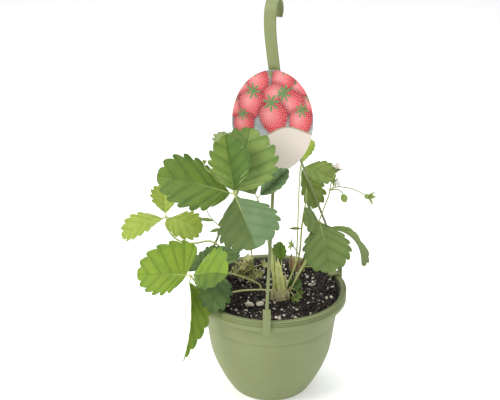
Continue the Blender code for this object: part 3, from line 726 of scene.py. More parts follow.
@dataclass(frozen=True)
class LeafFinish:
    """A living leaf: waxy cushions between sunk veins above, paler and downy below."""

    name: str
    body: str                         # on the cushions between the veins
    deep: str                         # painted shade beside the veins, and the teeth's darker green
    right: tuple[str, str] | None = None      # the same two on its right half, which paint the difference in light and shade between the halves
    groove: str = "#3f5a27"           # painted shade in the sunk veins
    vein: str = "#c2cd84"             # the raised root of the midrib
    under: str = "#98ab72"
    under_deep: str = "#869a62"
    roughness: float = 0.5
    under_roughness: float = 0.7
    gloss: float = 0.28
    sheen: float = 0.03
    net_mm: float = 1.9               # cells of the finest veins
    cloud_mm: float = 15.0            # patches of lighter and darker green
    relief: float = 0.22 * MM         # height of the cells between the finest veins

    def side_material(self, upper: bool) -> Material:
        """Makes the material of one side of the leaf.

        Args:
            upper: True for the side that faces the light.

        Returns:
            The material.
        """
        made, tree = new_material(f"{self.name}, {'upper' if upper else 'under'} side")
        body, deep = (self.body, self.deep) if upper else (self.under, self.under_deep)
        # the veins' tint: painted shade in the sunk side veins and the far midrib on the upper side,
        # their own pale colour below
        sunk_tint = self.groove if upper else self.vein
        coords = add_node(tree, "TexCoord").outputs
        spot = coords["Object"]
        uv = add_node(tree, "SeparateXYZ", coords["UV"]).outputs
        across = add_node(tree, "Math", uv["X"], 2.0, -1.0, operation="MULTIPLY_ADD")
        out = add_node(tree, "Math", across, operation="ABSOLUTE")
        wrapped = add_node(tree, "Math", uv["Y"], 0.5, -0.5, operation="WRAP")
        gap = add_node(tree, "Math", wrapped, operation="ABSOLUTE")
        far = add_node(tree, "Attribute", attribute_name="along").outputs["Fac"]
        cloud = add_node(tree, "TexNoise", {
            "Vector": spot, "Scale": 1.0 / (self.cloud_mm * MM), "Detail": 5.0})
        patch = add_node(tree, "MapRange", cloud, 0.4, 0.68, 0.0, 0.45)
        # painted shade: the cushions darken towards the sunk side veins
        vein_shade = add_node(tree, "MapRange", gap, 0.03, 0.34, 0.36, 0.0)
        margin = add_node(tree, "MapRange", out, 0.78, 1.0, 0.0, 0.3)
        shade = add_node(tree, "Math", patch, vein_shade, operation="ADD")
        dark = add_node(tree, "Math", shade, margin, operation="ADD", use_clamp=True)
        colour = layered(tree, body, (dark, deep))
        # a second pair of tints paints the right half's different light and shade
        if upper and self.right:
            half = add_node(tree, "MapRange", across, -0.07, 0.07)
            other = layered(tree, self.right[0], (dark, self.right[1]))
            colour = layered(tree, colour, (half, other))
        net = add_node(tree, "TexVoronoi", {
            "Vector": spot, "Scale": 1.0 / (self.net_mm * MM)}, feature="DISTANCE_TO_EDGE")
        line = add_node(tree, "MapRange", net, 0.0, 0.12, 0.22, 0.0)
        # the line of each side vein, which carries the painted groove shade on the upper side
        sunk = add_node(tree, "MapRange", gap, 0.01, 0.06, 0.42, 0.0)
        fade = add_node(tree, "MapRange", out, 0.7, 0.98, 1.0, 0.15)
        side = add_node(tree, "Math", sunk, fade, operation="MULTIPLY")
        root = add_node(tree, "MapRange", far, 0.5, 0.85)
        rib = layered(tree, self.vein, (root, sunk_tint))
        middle = add_node(tree, "MapRange", out, 0.014, 0.04, 0.62, 0.0)
        colour = layered(tree, colour, (line, deep), (side, sunk_tint), (middle, rib))
        cells = add_node(tree, "MapRange", net, 0.0, 0.3)
        surface(tree, colour, self.roughness if upper else self.under_roughness, cells,
                self.relief, Specular_IOR_Level=self.gloss, Sheen_Weight=self.sheen,
                Sheen_Roughness=0.4)
        return made


class Tone(Enum):
    """The leaflets' greens, from the oldest leaves to the youngest, some with painted light: a half
    darkened as shade, or a painted sheen.
    """

    OLD = LeafFinish("old leaf, full green", "#6b8630", "#496725")
    # its right half is painted darker, as the shade of a half turned from the light
    FOLDED = LeafFinish("old leaf, folded", "#86a044", "#648131", ("#5a7932", "#456228"))
    BROAD = LeafFinish("old leaf, dulled green", "#859c52", "#5f7e37")
    # the bluish grey of its body is a painted sheen; its right half is the plain olive without it
    SILVER = LeafFinish("old leaf, silvery sheen", "#748f63", "#597745",
                        ("#687e3e", "#4b602c"), groove="#5c7a4e", gloss=0.45, sheen=0.18)
    BLUISH = LeafFinish("grown leaf, bluish green", "#809a6c", "#5e7c4b", groove="#4b6a3c")
    SHADE = LeafFinish("shaded leaf, dark green", "#587239", "#3c5529", groove="#32491f")
    MIDDLE = LeafFinish("grown leaf, mid green", "#768a4a", "#5a7234")
    SUNNY = LeafFinish("young leaf, sunny green", "#8aa436", "#668727")
    # its right half is painted darker, as the shade of a half turned from the light
    HALF_LIT = LeafFinish("young leaf, folded", "#86a336", "#648628", ("#6c8836", "#4c6828"))
    SOFT = LeafFinish("young leaf, soft green", "#879b4c", "#6a8236", groove="#5d7632")
    LIME = LeafFinish("youngest leaf, lime green", "#9aae48", "#849a38", groove="#768c2e",
                      vein="#cdd590", under="#b3c27c")

    def dress(self, obj: Object) -> None:
        """Gives a sheet the tone's upper and under material, in that order.

        Args:
            obj: the sheet.
        """
        for upper in (True, False):
            side = "upper" if upper else "under"
            found = bpy.data.materials.get(f"{self.value.name}, {side} side")
            obj.data.materials.append(found or self.value.side_material(upper))


@dataclass(frozen=True)
class StemFinish:
    """A green stem or leaf stalk: fine streaks along it, and a bleached sheath at its foot."""

    name: str
    body: str
    streak: str
    foot: str = "#cfc893"             # the sheath, where the light doesn't reach it
    roughness: float = 0.5
    streaks: float = 9.0              # streaks round the stem
    streak_mm: float = 9.0            # length of a streak
    relief: float = 0.0001            # height of the streaks

    def material(self) -> Material:
        """Makes the material, with its streaks along the UV map.

        Returns:
            The material.
        """
        made, tree = new_material(self.name)
        coords = add_node(tree, "TexCoord").outputs
        stretched = add_node(tree, "Mapping", {
            "Vector": coords["UV"],
            "Scale": (self.streaks, 1.0 / (self.streak_mm * MM), 1.0)})
        lines = add_node(tree, "TexNoise", {"Vector": stretched, "Scale": 1.0, "Detail": 4.0})
        share = add_node(tree, "MapRange", lines, 0.35, 0.65)
        height = add_node(tree, "SeparateXYZ", coords["Object"]).outputs["Z"]
        low = add_node(tree, "MapRange", height, SOIL_Z, SOIL_Z + 24.0 * MM, 0.85, 0.0)
        colour = layered(tree, self.body, (share, self.streak), (low, self.foot))
        surface(tree, colour, self.roughness, lines, self.relief, IOR=1.42, Sheen_Weight=0.15)
        return made


class Finishes:
    """The finishes that several pieces share, each made once."""

    def __init__(self) -> None:
        """Makes the shared materials."""
        self.plastic = MouldedPolypropylene().material()
        self.soil = PottingSoil().material()
        self.perlite = PlainFinish("expanded perlite", "#f1ede4", "#b7a88c", 0.85, 9.0,
                                   relief=0.0004).material()
        self.bark = PlainFinish("composted bark", "#6a5541", "#352a22", 0.9).material()
        self.root = PlainFinish("fine root, dry", "#c3b59c", "#8f7d69", 0.75).material()
        self.stem = StemFinish("green stem", "#929f50", "#acb76c").material()
        self.stalk = StemFinish("leaf stalk, pale green", "#a7b45f", "#c6cd8c").material()
        self.sepal = PlainFinish("sepal, green", "#7b9645", "#96a95a", 0.6).material()
        self.husk = PlainFinish("old calyx, straw green", "#c6cc8c", "#98925a", 0.7,
                                2.5).material()
        self.sheath = PlainFinish("young sheath, yellow green", "#b3bd62", "#d3d79a", 0.6,
                                  6.0).material()
        self.dry = PlainFinish("old leaf base, papery", "#c4ad84", "#9a7f5e", 0.8).material()
        self.rust = PlainFinish("old leaf base, rusty", "#a07a58", "#6d4c38", 0.8).material()
        self.crown = PlainFinish("crown, pale green and knobbly", "#dbd6aa", "#b9ba80",
                                 0.7, relief=0.0003, fine_mm=1.1).material()
        self.petal = PlainFinish("petal, white", "#f7f5f2", "#f3ecec", 0.55,
                                 relief=0.00005).material()
        self.pollen = PlainFinish("pollen, yellow", "#d9c23c", "#b9a029", 0.7).material()


# --- pot, hanger and card ---------------------------------------------------

@dataclass
class Pot:
    """The moulded bowl with its ridged, rolled rim and drain holes."""

    wall: float = 1.6 * MM
    floor: float = 2.2 * MM
    mouth: float = RIM_R - 5.0 * MM
    skirt: float = 13.5 * MM
    groove: float = 0.55 * MM         # depth of the grooves in the rim's top
    ridges: int = 3                   # grooves round the rim's outer wall
    step: float = 0.9 * MM            # depth of the fine line round the bowl
    segments: int = 160
    drain_radius: float = 3.5 * MM
    drain_ring: float = 30.0 * MM
    drains: int = 4
    body: tuple = ((0.0866, 0.1325), (0.0857, 0.124), (0.0838, 0.11), (0.0823, 0.0985),
                   (0.0817, 0.0968), (0.0806, 0.087), (0.0785, 0.07), (0.0757, 0.055),
                   (0.0706, 0.04), (0.0638, 0.025), (0.0565, 0.0115), (0.0505, 0.0022),
                   (0.048, 0.0))

    def rim(self) -> list[tuple[float, float]]:
        """Gives the rim's profile from the inner wall over the top to the outer wall.

        Returns:
            Radius and height of each point.
        """
        top, mouth, deep = POT_H, self.mouth, self.groove
        rim = [(mouth - 3.8 * MM, top - 3.0 * MM), (mouth - 1.0 * MM, top - 0.9 * MM),
               (mouth - 0.3 * MM, top - 0.2 * MM), (mouth, top)]
        for share in (0.3, 0.68):
            middle = mouth + share * 3.8 * MM
            rim += [(middle - 0.3 * MM, top), (middle - 0.1 * MM, top - deep),
                    (middle + 0.1 * MM, top - deep), (middle + 0.3 * MM, top)]
        rim += [(RIM_R - 1.2 * MM, top), (RIM_R - 0.35 * MM, top - 0.35 * MM),
                (RIM_R, top - 1.2 * MM)]
        for step in range(self.ridges):
            middle = top - (2.4 + 2.4 * step) * MM
            rim += [(RIM_R - 0.1 * MM, middle + 0.75 * MM), (RIM_R - 0.9 * MM, middle + 0.3 * MM),
                    (RIM_R - 0.9 * MM, middle - 0.2 * MM), (RIM_R - 0.1 * MM, middle - 0.6 * MM)]
        rim += [(RIM_R - 0.1 * MM, top - self.skirt + 0.7 * MM),
                (RIM_R - 0.6 * MM, top - self.skirt), (RIM_R - 1.7 * MM, top - self.skirt),
                (RIM_R - 2.1 * MM, top - self.skirt + 0.6 * MM), (RIM_R - 2.2 * MM, top - 3.0 * MM),
                (mouth + 0.5 * MM, top - 3.0 * MM), (mouth - 2.0 * MM, top - 4.5 * MM)]
        return rim

    def outer(self) -> list[tuple[float, float]]:
        """Gives the bowl's outer profile from the rim down: smooth, with one fine step.

        Returns:
            Radius and height of each point.
        """
        above = smooth_path([(r, 0.0, z) for r, z in self.body[:4]], 4.0 * MM)
        below = smooth_path([(r, 0.0, z) for r, z in self.body[4:]], 4.0 * MM)
        edge = above[-1]
        line = [Vector((edge.x - self.step, 0.0, edge.z - share * MM)) for share in (0.2, 0.9)]
        return [(point.x, point.z) for point in (*above, *line, *below)]

    def inner(self) -> list[tuple[float, float]]:
        """Gives the bowl's inner profile from the floor's edge up.

        Returns:
            Radius and height of each point.
        """
        foot = (self.body[-1][0] - 1.0 * MM, self.floor)
        side = [(r - self.wall, z) for r, z in self.body[-3::-2]]
        return [foot, *side]

    def make(self, finishes: Finishes) -> None:
        """Builds the pot in place.

        Args:
            finishes: the shared materials.
        """
        axis = 1.0 * MM
        profile = [(axis, self.floor), *self.inner(), *self.rim(), *self.outer(),
                   (axis, 0.0)]
        made = turned("pot_shell", profile, self.segments)
        for index in range(self.drains):
            turn = 2 * math.pi * (index + 0.5) / self.drains
            bpy.ops.object.select_all(action="DESELECT")
            bpy.ops.mesh.primitive_cylinder_add(
                vertices=32, radius=self.drain_radius, depth=12 * MM,
                location=(self.drain_ring * math.cos(turn),
                          self.drain_ring * math.sin(turn), 0.0))
            cut(made, named("drain"))
        finished(smooth(coated(made, finishes.plastic), 32.0), "pot", ["pot"])


@dataclass
class Hanger:
    """The one-piece strap hanger: band hook, hub, three straps and their clips."""

    hub: Vector = Vector((0.006, 0.0, 0.386))
    arm: tuple = (3.8 * MM, 2.2 * MM)
    clip_width: float = 9.5 * MM
    clip_top: float = 0.1555
    tongue_end: float = 0.1342
    bearings: tuple = (-4.0, 112.0, -126.0)      # from the front, towards the right
    band: tuple = (15.0 * MM, 2.2 * MM)
    band_turn: float = -25.0
    band_path: tuple = (                          # forward reach and height above the hub
        (0.001, -0.004), (0.0035, 0.012), (0.0095, 0.034), (0.0165, 0.058),
        (0.0218, 0.079), (0.0236, 0.095), (0.0222, 0.1085), (0.0178, 0.1165),
        (0.012, 0.119), (0.0066, 0.1165), (0.0034, 0.1105), (0.0032, 0.1035),
        (0.0064, 0.0975))
    peg_width: float = 2.8 * MM

    @staticmethod
    def bearing(degrees: float) -> Vector:
        """The plan direction at an angle from the front towards the right."""
        turn = math.radians(degrees)
        return Vector((math.sin(turn), -math.cos(turn), 0.0))

    @staticmethod
    def upright(obj: Object, origin: Vector, run: Vector) -> Object:
        """Stands a flat plate up, its local X along a plan direction.

        Args:
            obj: the plate, modelled flat at the origin.
            origin: where its origin goes.
            run: the plan direction.

        Returns:
            The plate, in place.
        """
        out = Vector((run.x, run.y, 0.0)).normalized()
        turn = Matrix((out, UP, out.cross(UP))).transposed().to_4x4()
        return placed(obj, Matrix.Translation(origin) @ turn)

    def clip(self, name: str, out: Vector) -> Object:
        """Models one clip: plate outside the rim, bridge over it, tongue and hook.

        Args:
            name: the object's name.
            out: the plan direction that it faces.

        Returns:
            The clip, in place.
        """
        thick = self.arm[1]
        face, skirt, over = RIM_R + GAP, POT_H - Pot.skirt, POT_H + GAP
        tongue = RIM_R - 11.6 * MM
        outline = [
            (face + thick, self.clip_top), (face + thick, skirt - 3.0 * MM),
            (RIM_R - 3.5 * MM, skirt - 3.0 * MM), (RIM_R - 3.5 * MM, skirt - 0.9 * MM),
            (RIM_R - 2.2 * MM, skirt - GAP), (face, skirt - GAP), (face, over),
            (tongue, over), (tongue - 0.2 * MM, self.tongue_end),
            (tongue - 2.0 * MM, self.tongue_end),
            (tongue - 2.2 * MM, over + 1.0 * MM), (tongue - 1.0 * MM, over + 2.4 * MM),
            (face, over + 2.4 * MM), (face, self.clip_top)]
        made = plate(name, outline[::-1], self.clip_width, 0.35 * MM)
        return self.upright(made, Vector((0.0, 0.0, 0.0)), out)

    def strap(self, name: str, out: Vector) -> Object:
        """Models one strap from the hub down to its clip.

        Args:
            name: the object's name.
            out: the plan direction of its clip.

        Returns:
            The strap.
        """
        foot = out * (RIM_R + GAP + self.arm[1] / 2)
        run = foot - Vector((self.hub.x, self.hub.y, 0.0))
        reach, height = run.length, self.hub.z - self.clip_top
        way = run.normalized()
        points = [self.hub + way * x + UP * z for x, z in (
            (0.8 * MM, -1.0 * MM), (reach * 0.33, -height * 0.345),
            (reach * 0.66, -height * 0.665), (reach * 0.93, -height * 0.93),
            (reach, -height - 3.0 * MM))]
        return swept(name, smooth_path(points, 4.0 * MM),
                     strap_section(*self.arm, 0.6 * MM), way.cross(UP))

    def peg(self, hung: Vector, card_thickness: float) -> Object:
        """Models the small upturned peg that the card hangs on.

        Args:
            hung: the top edge of the card's slot.
            card_thickness: the card's thickness.

        Returns:
            The peg.
        """
        root = Vector((hung.x, -7.5 * MM, hung.z - 0.4 * MM))
        reach = root.y - hung.y + card_thickness / 2 + 0.5 * MM
        outline = [(0.0, 0.0), (reach, 0.0), (reach + 0.3 * MM, 1.4 * MM),
                   (reach + 1.5 * MM, 1.4 * MM), (reach + 1.8 * MM, -2.2 * MM),
                   (0.0, -2.2 * MM)]
        made = plate("peg", outline[::-1], self.peg_width, 0.3 * MM)
        return self.upright(made, root, Vector((0.0, -1.0, 0.0)))

    def make(self, finishes: Finishes, card: "Card") -> None:
        """Builds the hanger in place.

        Args:
            finishes: the shared materials.
            card: the card that it carries.
        """
        way = self.bearing(self.band_turn)
        path = smooth_path([self.hub + way * x + UP * z for x, z in self.band_path], 2.0 * MM)
        pieces = [swept("band", path, strap_section(*self.band, 0.7 * MM), way.cross(UP))]
        hub = plate("hub", [(4.0 * MM, 4.5 * MM), (2.2 * MM, 10 * MM), (-2.6 * MM, 8.5 * MM),
                            (-3.4 * MM, -6 * MM), (4.0 * MM, -6 * MM)], 10 * MM, 0.6 * MM)
        pieces.append(self.upright(hub, self.hub, way))
        for index, degrees in enumerate(self.bearings):
            out = self.bearing(degrees)
            pieces.append(self.clip(f"clip_{index}", out))
            pieces.append(self.strap(f"strap_{index}", out))
        pieces.append(self.peg(card.hung(), card.thickness))
        made = coated(united("hanger_moulding", pieces), finishes.plastic)
        finished(smooth(made, 35.0), "pot", ["hanger"])


@dataclass(frozen=True)
class Berry:
    """A printed strawberry: where its middle is on the card, its size and its turn."""

    x: float
    y: float
    size: float
    turn: float = 0.0


@dataclass
class Card:
    """The oval picture card with its slot and a generic print of strawberries."""

    width: float = 94.5 * MM
    height: float = 120.5 * MM
    thickness: float = 0.8 * MM
    centre: Vector = Vector((-0.0002, -0.0256, 0.3643))
    roll: float = -2.7
    tilt: float = 9.7
    slot_drop: float = 5.2 * MM
    slot: tuple = (4.0 * MM, 6.8 * MM)
    corners: int = 144
    berries: tuple = (                # places and sizes in millimetres, the lowest first
        Berry(-33, 38, 14, -30), Berry(33, 36, 14, 25), Berry(-14, 47, 14, 15),
        Berry(13, 46, 15, -20), Berry(-40, 18, 13, 20), Berry(41, 14, 13, -15),
        Berry(0, 28, 16, -70), Berry(-24, 20, 16, -10), Berry(25, 18, 16, 40),
        Berry(-33, -3, 13, 5), Berry(32, -4, 15, -8), Berry(2, 3, 18, 8))

    def place(self) -> Matrix:
        """Where the card hangs: local X across it, Y up it and Z out of its front."""
        turn = (Matrix.Rotation(math.radians(self.roll), 4, "Y")
                @ Matrix.Rotation(math.radians(90.0 - self.tilt), 4, "X"))
        return Matrix.Translation(self.centre) @ turn

    def hung(self) -> Vector:
        """The middle of the slot's upper edge."""
        return self.place() @ Vector((0.0, self.height / 2 - self.slot_drop
                                      + self.slot[1] / 2, 0.0))

    def berry_group(self) -> NodeTree:
        """Makes the node group that prints one strawberry over what lies under it.

        Returns:
            The group: its Vector is the place in the berry's own radii, +Y to the
            calyx.
        """
        tree = bpy.data.node_groups.new("printed strawberry", "ShaderNodeTree")
        for name, kind in (("Vector", "NodeSocketVector"), ("Under", "NodeSocketColor")):
            tree.interface.new_socket(name, in_out="INPUT", socket_type=kind)
        tree.interface.new_socket("Color", in_out="OUTPUT", socket_type="NodeSocketColor")
        given = add_node(tree, "NodeGroupInput").outputs
        spot = add_node(tree, "SeparateXYZ", given["Vector"]).outputs
        taper = add_node(tree, "Math", spot["Y"], 0.26, 0.86, operation="MULTIPLY_ADD")
        slim = add_node(tree, "Math", spot["X"], taper, operation="DIVIDE")
        round_spot = add_node(tree, "CombineXYZ", slim, spot["Y"])
        reach = add_node(tree, "VectorMath", round_spot, operation="LENGTH").outputs["Value"]
        inside = add_node(tree, "MapRange", reach, 0.99, 1.02, 1.0, 0.0)
        shadow = add_node(tree, "MapRange", reach, 1.0, 1.28, 0.55, 0.0)
        edge = add_node(tree, "MapRange", reach, 0.45, 1.0)
        lit = add_node(tree, "VectorMath", given["Vector"], (-0.25, 0.32, 0.0),
                       operation="DISTANCE").outputs["Value"]
        glow = add_node(tree, "MapRange", lit, 0.05, 0.75, 0.75, 0.0)
        cells = add_node(tree, "TexVoronoi", {"Vector": given["Vector"], "Scale": 6.5,
                                              "Randomness": 0.45}, voronoi_dimensions="2D")
        seed = add_node(tree, "MapRange", cells, 0.1, 0.19, 0.85, 0.0)
        flesh = layered(tree, "#dd5560", (edge, "#b02c38"), (glow, "#f0a0a2"), (seed, "#f3cdb0"))
        crown = add_node(tree, "VectorMath", given["Vector"], (0.0, 0.96, 0.0),
                         operation="SUBTRACT")
        parts = add_node(tree, "SeparateXYZ", crown).outputs
        angle = add_node(tree, "Math", parts["Y"], parts["X"], operation="ARCTAN2")
        turns = add_node(tree, "Math", angle, 7.0, operation="MULTIPLY")
        wave = add_node(tree, "Math", turns, operation="COSINE")
        tip = add_node(tree, "Math", wave, 0.22, 0.34, operation="MULTIPLY_ADD")
        out = add_node(tree, "VectorMath", crown, operation="LENGTH").outputs["Value"]
        spare = add_node(tree, "Math", tip, out, operation="SUBTRACT")
        leafy = add_node(tree, "MapRange", spare, 0.0, 0.04)
        green = layered(tree, "#6d9a5c", (spare, "#1f5a35"))
        add_node(tree, "NodeGroupOutput", {"Color": layered(
            tree, given["Under"], (shadow, "#4a2028"), (inside, flesh), (leafy, green))})
        return tree

    def printed(self) -> Material:
        """Makes the coated, printed face: berries above, cream with a wave below.

        Returns:
            The material.
        """
        made, tree = new_material("coated card, printed")
        uv = add_node(tree, "TexCoord").outputs["UV"]
        spot = add_node(tree, "SeparateXYZ", uv).outputs
        swing = add_node(tree, "Math", spot["X"], 0.095, operation="MULTIPLY")
        wave = add_node(tree, "Math", swing, operation="SINE")
        level = add_node(tree, "Math", wave, 5.0, -13.0, operation="MULTIPLY_ADD")
        above = add_node(tree, "Math", spot["Y"], level, operation="SUBTRACT")
        cloud = add_node(tree, "TexNoise", {"Vector": uv, "Scale": 0.09, "Detail": 2.0})
        colour = layered(tree, "#59656c", (cloud, "#dfe3e2"))
        group = self.berry_group()
        for berry in self.berries:
            local = add_node(tree, "Mapping", {
                "Vector": uv, "Location": (berry.x, berry.y, 0.0),
                "Rotation": (0.0, 0.0, math.radians(berry.turn)),
                "Scale": (berry.size, berry.size * 1.12, 1.0)}, vector_type="TEXTURE")
            colour = add_node(tree, "Group", {"Vector": local, "Under": colour},
                              node_tree=group).outputs["Color"]
        band = add_node(tree, "MapRange", above, 0.0, 0.3)
        line = add_node(tree, "Math", above, 0.9, 0.9, operation="COMPARE")
        colour = layered(tree, "#ddd3c7", (band, colour), (line, "#a9a58a"))
        surface(tree, colour, 0.42, IOR=1.5, Coat_Weight=0.15)
        return made

    def make(self, finishes: Finishes) -> None:
        """Builds the card in place, with its print on the front face.

        Args:
            finishes: the shared materials; not used.
        """
        turns = [2 * math.pi * index / self.corners for index in range(self.corners)]
        outline = [(self.width / 2 * math.cos(turn), self.height / 2 * math.sin(turn))
                   for turn in turns]
        made = plate("picture_card", outline, self.thickness, 0.12 * MM, 1)
        bpy.ops.object.select_all(action="DESELECT")
        bpy.ops.mesh.primitive_cube_add(
            size=1.0, location=(0.0, self.height / 2 - self.slot_drop, 0.0),
            scale=(*self.slot, 10 * MM))
        cut(made, named("slot"))
        stock = PlainFinish("card stock, white", "#efece6", "#e6e2da", 0.6).material()
        coated(made, stock).data.materials.append(self.printed())
        layer = made.data.uv_layers.active or made.data.uv_layers.new(name="UVMap")
        for face in made.data.polygons:
            for loop in face.loop_indices:
                corner = made.data.vertices[made.data.loops[loop].vertex_index].co
                layer.data[loop].uv = (corner.x / MM, corner.y / MM)
            if face.normal.z > 0.9:
                face.material_index = 1
        placed(made, self.place())
        finished(smooth(made, 30.0), "card", ["card"])


# --- soil -------------------------------------------------------------------

@dataclass
class Soil:
    """The compost: a lumpy top, loose crumbs, perlite, bark and fine dry roots."""

    bump: float = 2.2 * MM
    rings: int = 46
    segments: int = 168
    crumbs: int = 2100
    grains: int = 520
    chips: int = 170
    roots: int = 26
    edge: float = 84.2 * MM
    waves: tuple = (                  # waves in a metre, layer of the noise and height
        (60, 3.7, 1.0), (170, 9.1, 0.6), (420, 1.3, 0.45))
    big: tuple = ("perlite_0", "perlite_1")
    seed: int = 11

    def height(self, x: float, y: float) -> float:
        """Gives the height of the compost's top at a place in the plan.

        Args:
            x: the place towards the right.
            y: the place towards the back.

        Returns:
            The height.
        """
        heap = 1.6 * MM * max(0.0, (math.hypot(x, y) / self.edge - 0.86) / 0.14)
        pits = 1.0 - abs(noise.noise(Vector((x * 230, y * 230, 6.1)))) * 3.0
        lumps = sum(height * noise.noise(Vector((x * count, y * count, layer)))
                    for count, layer, height in self.waves)
        return SOIL_Z + heap + self.bump * (lumps - 0.75 * max(pits, 0.0))

    def body(self, finishes: Finishes, pot: Pot) -> None:
        """Builds the mass of compost that fills the pot.

        Args:
            finishes: the shared materials.
            pot: the pot that it fills.
        """
        side = [(radius - GAP, height + GAP) for radius, height in pot.inner()[:-1]]
        top = [(self.edge * (1.0 - index / self.rings), SOIL_Z)
               for index in range(self.rings)]
        profile = [(1.0 * MM, pot.floor + GAP), *side, (self.edge, SOIL_Z - 1.5 * MM), *top]
        made = turned("compost", profile, self.segments)
        for vert in made.data.vertices:
            if vert.co.z > SOIL_Z - 0.1 * MM:
                vert.co.z = self.height(vert.co.x, vert.co.y)
        finished(smooth(coated(made, finishes.soil), 60.0), "soil", ["soil"])

    def spots(self, draw: random.Random, count: int) -> list[tuple[float, float]]:
        """Draws places spread evenly over the compost.

        Args:
            draw: the source of the random numbers.
            count: how many places.

        Returns:
            The places in the plan.
        """
        found = []
        for _ in range(count):
            radius = (self.edge - 1.0 * MM) * math.sqrt(draw.random())
            turn = draw.uniform(0.0, 2 * math.pi)
            found.append((radius * math.cos(turn), radius * math.sin(turn)))
        return found

    def strew(self, name: str, count: int, sizes: tuple, detail: int, squash: float,
              seed: int) -> Object:
        """Strews irregular grains over the compost.

        Args:
            name: the object's name.
            count: how many grains.
            sizes: the smallest and largest half size.
            detail: subdivisions of a grain.
            squash: height over width of the flattest grain.
            seed: seed of the draw.

        Returns:
            The grains, as one object.
        """
        draw = random.Random(seed)
        kinds = [lump(f"grain_{index}", detail, 0.9, seed + 3.0 * index) for index in range(6)]
        places = []
        for x, y in self.spots(draw, count):
            size = sizes[0] + (sizes[1] - sizes[0]) * draw.random() ** 2.6
            shape = stretch(size, size * draw.uniform(0.6, 1.0),
                            size * draw.uniform(squash, 1.0))
            turn = Matrix.Rotation(draw.uniform(0, 2 * math.pi), 4, "Z") @ Matrix.Rotation(
                draw.uniform(-0.5, 0.5), 4, "X")
            lift = self.height(x, y) + size * draw.uniform(0.1, 0.6)
            places.append((draw.randrange(6), Matrix.Translation((x, y, lift)) @ turn @ shape))
        return scattered(name, kinds, places)

    def chip_layer(self, finishes: Finishes) -> None:
        """Strews slivers of bark, most of them lying flat.

        Args:
            finishes: the shared materials.
        """
        draw = random.Random(self.seed + 5)
        kinds = [lump(f"chip_{index}", 1, 0.35, 40.0 + index) for index in range(4)]
        places = []
        for x, y in self.spots(draw, self.chips):
            length = draw.uniform(1.0, 3.4) * MM
            shape = stretch(length, 0.45 * MM, 0.35 * MM)
            turn = (Matrix.Rotation(draw.uniform(0, 2 * math.pi), 4, "Z")
                    @ Matrix.Rotation(draw.uniform(-0.35, 0.35), 4, "Y"))
            places.append((draw.randrange(4), Matrix.Translation(
                (x, y, self.height(x, y) + 0.4 * MM)) @ turn @ shape))
        finished(coated(scattered("bark_chips", kinds, places), finishes.bark), "soil")

    def root_layer(self, finishes: Finishes) -> None:
        """Lays fine dry roots in wandering lines over the compost.

        Args:
            finishes: the shared materials.
        """
        draw = random.Random(self.seed + 9)
        pieces = []
        for index, (x, y) in enumerate(self.spots(draw, self.roots)):
            heading, points = draw.uniform(0, 2 * math.pi), []
            for _ in range(draw.randint(4, 8)):
                if math.hypot(x, y) > self.edge - 2 * MM:
                    break
                points.append(Vector((x, y, self.height(x, y) + draw.uniform(0.4, 1.4) * MM)))
                heading += draw.uniform(-0.9, 0.9)
                x += 2.8 * MM * math.cos(heading)
                y += 2.8 * MM * math.sin(heading)
            if len(points) > 2:
                pieces.append(swept(f"root_{index}", smooth_path(points, 1.0 * MM),
                                    round_section(lambda share: 0.24 * MM, 5)))
        finished(smooth(coated(joined("fine_roots", pieces), finishes.root)), "crown")

    def make(self, finishes: Finishes, pot: Pot) -> None:
        """Builds the compost and all that lies on it.

        Args:
            finishes: the shared materials.
            pot: the pot that it fills.
        """
        self.body(finishes, pot)
        crumbs = self.strew("compost_crumbs", self.crumbs, (0.6 * MM, 2.9 * MM), 1, 0.5, 3)
        finished(coated(crumbs, finishes.soil), "soil")
        grains = self.strew("perlite_grains", self.grains, (0.45 * MM, 2.6 * MM), 1, 0.45, 29)
        finished(coated(grains, finishes.perlite), "perlite")
        self.chip_layer(finishes)
        self.root_layer(finishes)
        for index, node in enumerate(self.big):
            low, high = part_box(node)
            made = lump(f"perlite_lump_{index}", 4, 0.3, 1.7 * index)
            half = (high - low) / 2
            placed(made, Matrix.Translation((low + high) / 2) @ stretch(*half))
            finished(smooth(coated(made, finishes.perlite), 60.0), "perlite", [node])


# --- plant ------------------------------------------------------------------

TOOTH_DEPTH = 0.044               # half depth of a tooth, as a share of the leaflet's length
TOOTH_LEAN = 0.8                  # how far a tooth leans to the tip, by its depth
VEIN_FAN = 3.0                    # higher has the side veins start nearer the base
QUILT = 0.009                     # height of the cushions, as a share of the length
TEETH_RISE = (0.22, 0.42)         # the share of the margin where the teeth grow in
TIP_TEETH = (0.93, 1.0)           # where those of the tip get smaller
TIP_LOSS = 0.65                   # the share of their depth that goes there
LEAN_LOSS = (0.8, 0.97)          # where they stop leaning
TOOTH_CURVE = 2.1                 # higher has broader teeth with narrower notches
FULL_TEETH = 7                    # teeth along a side at which they are full depth


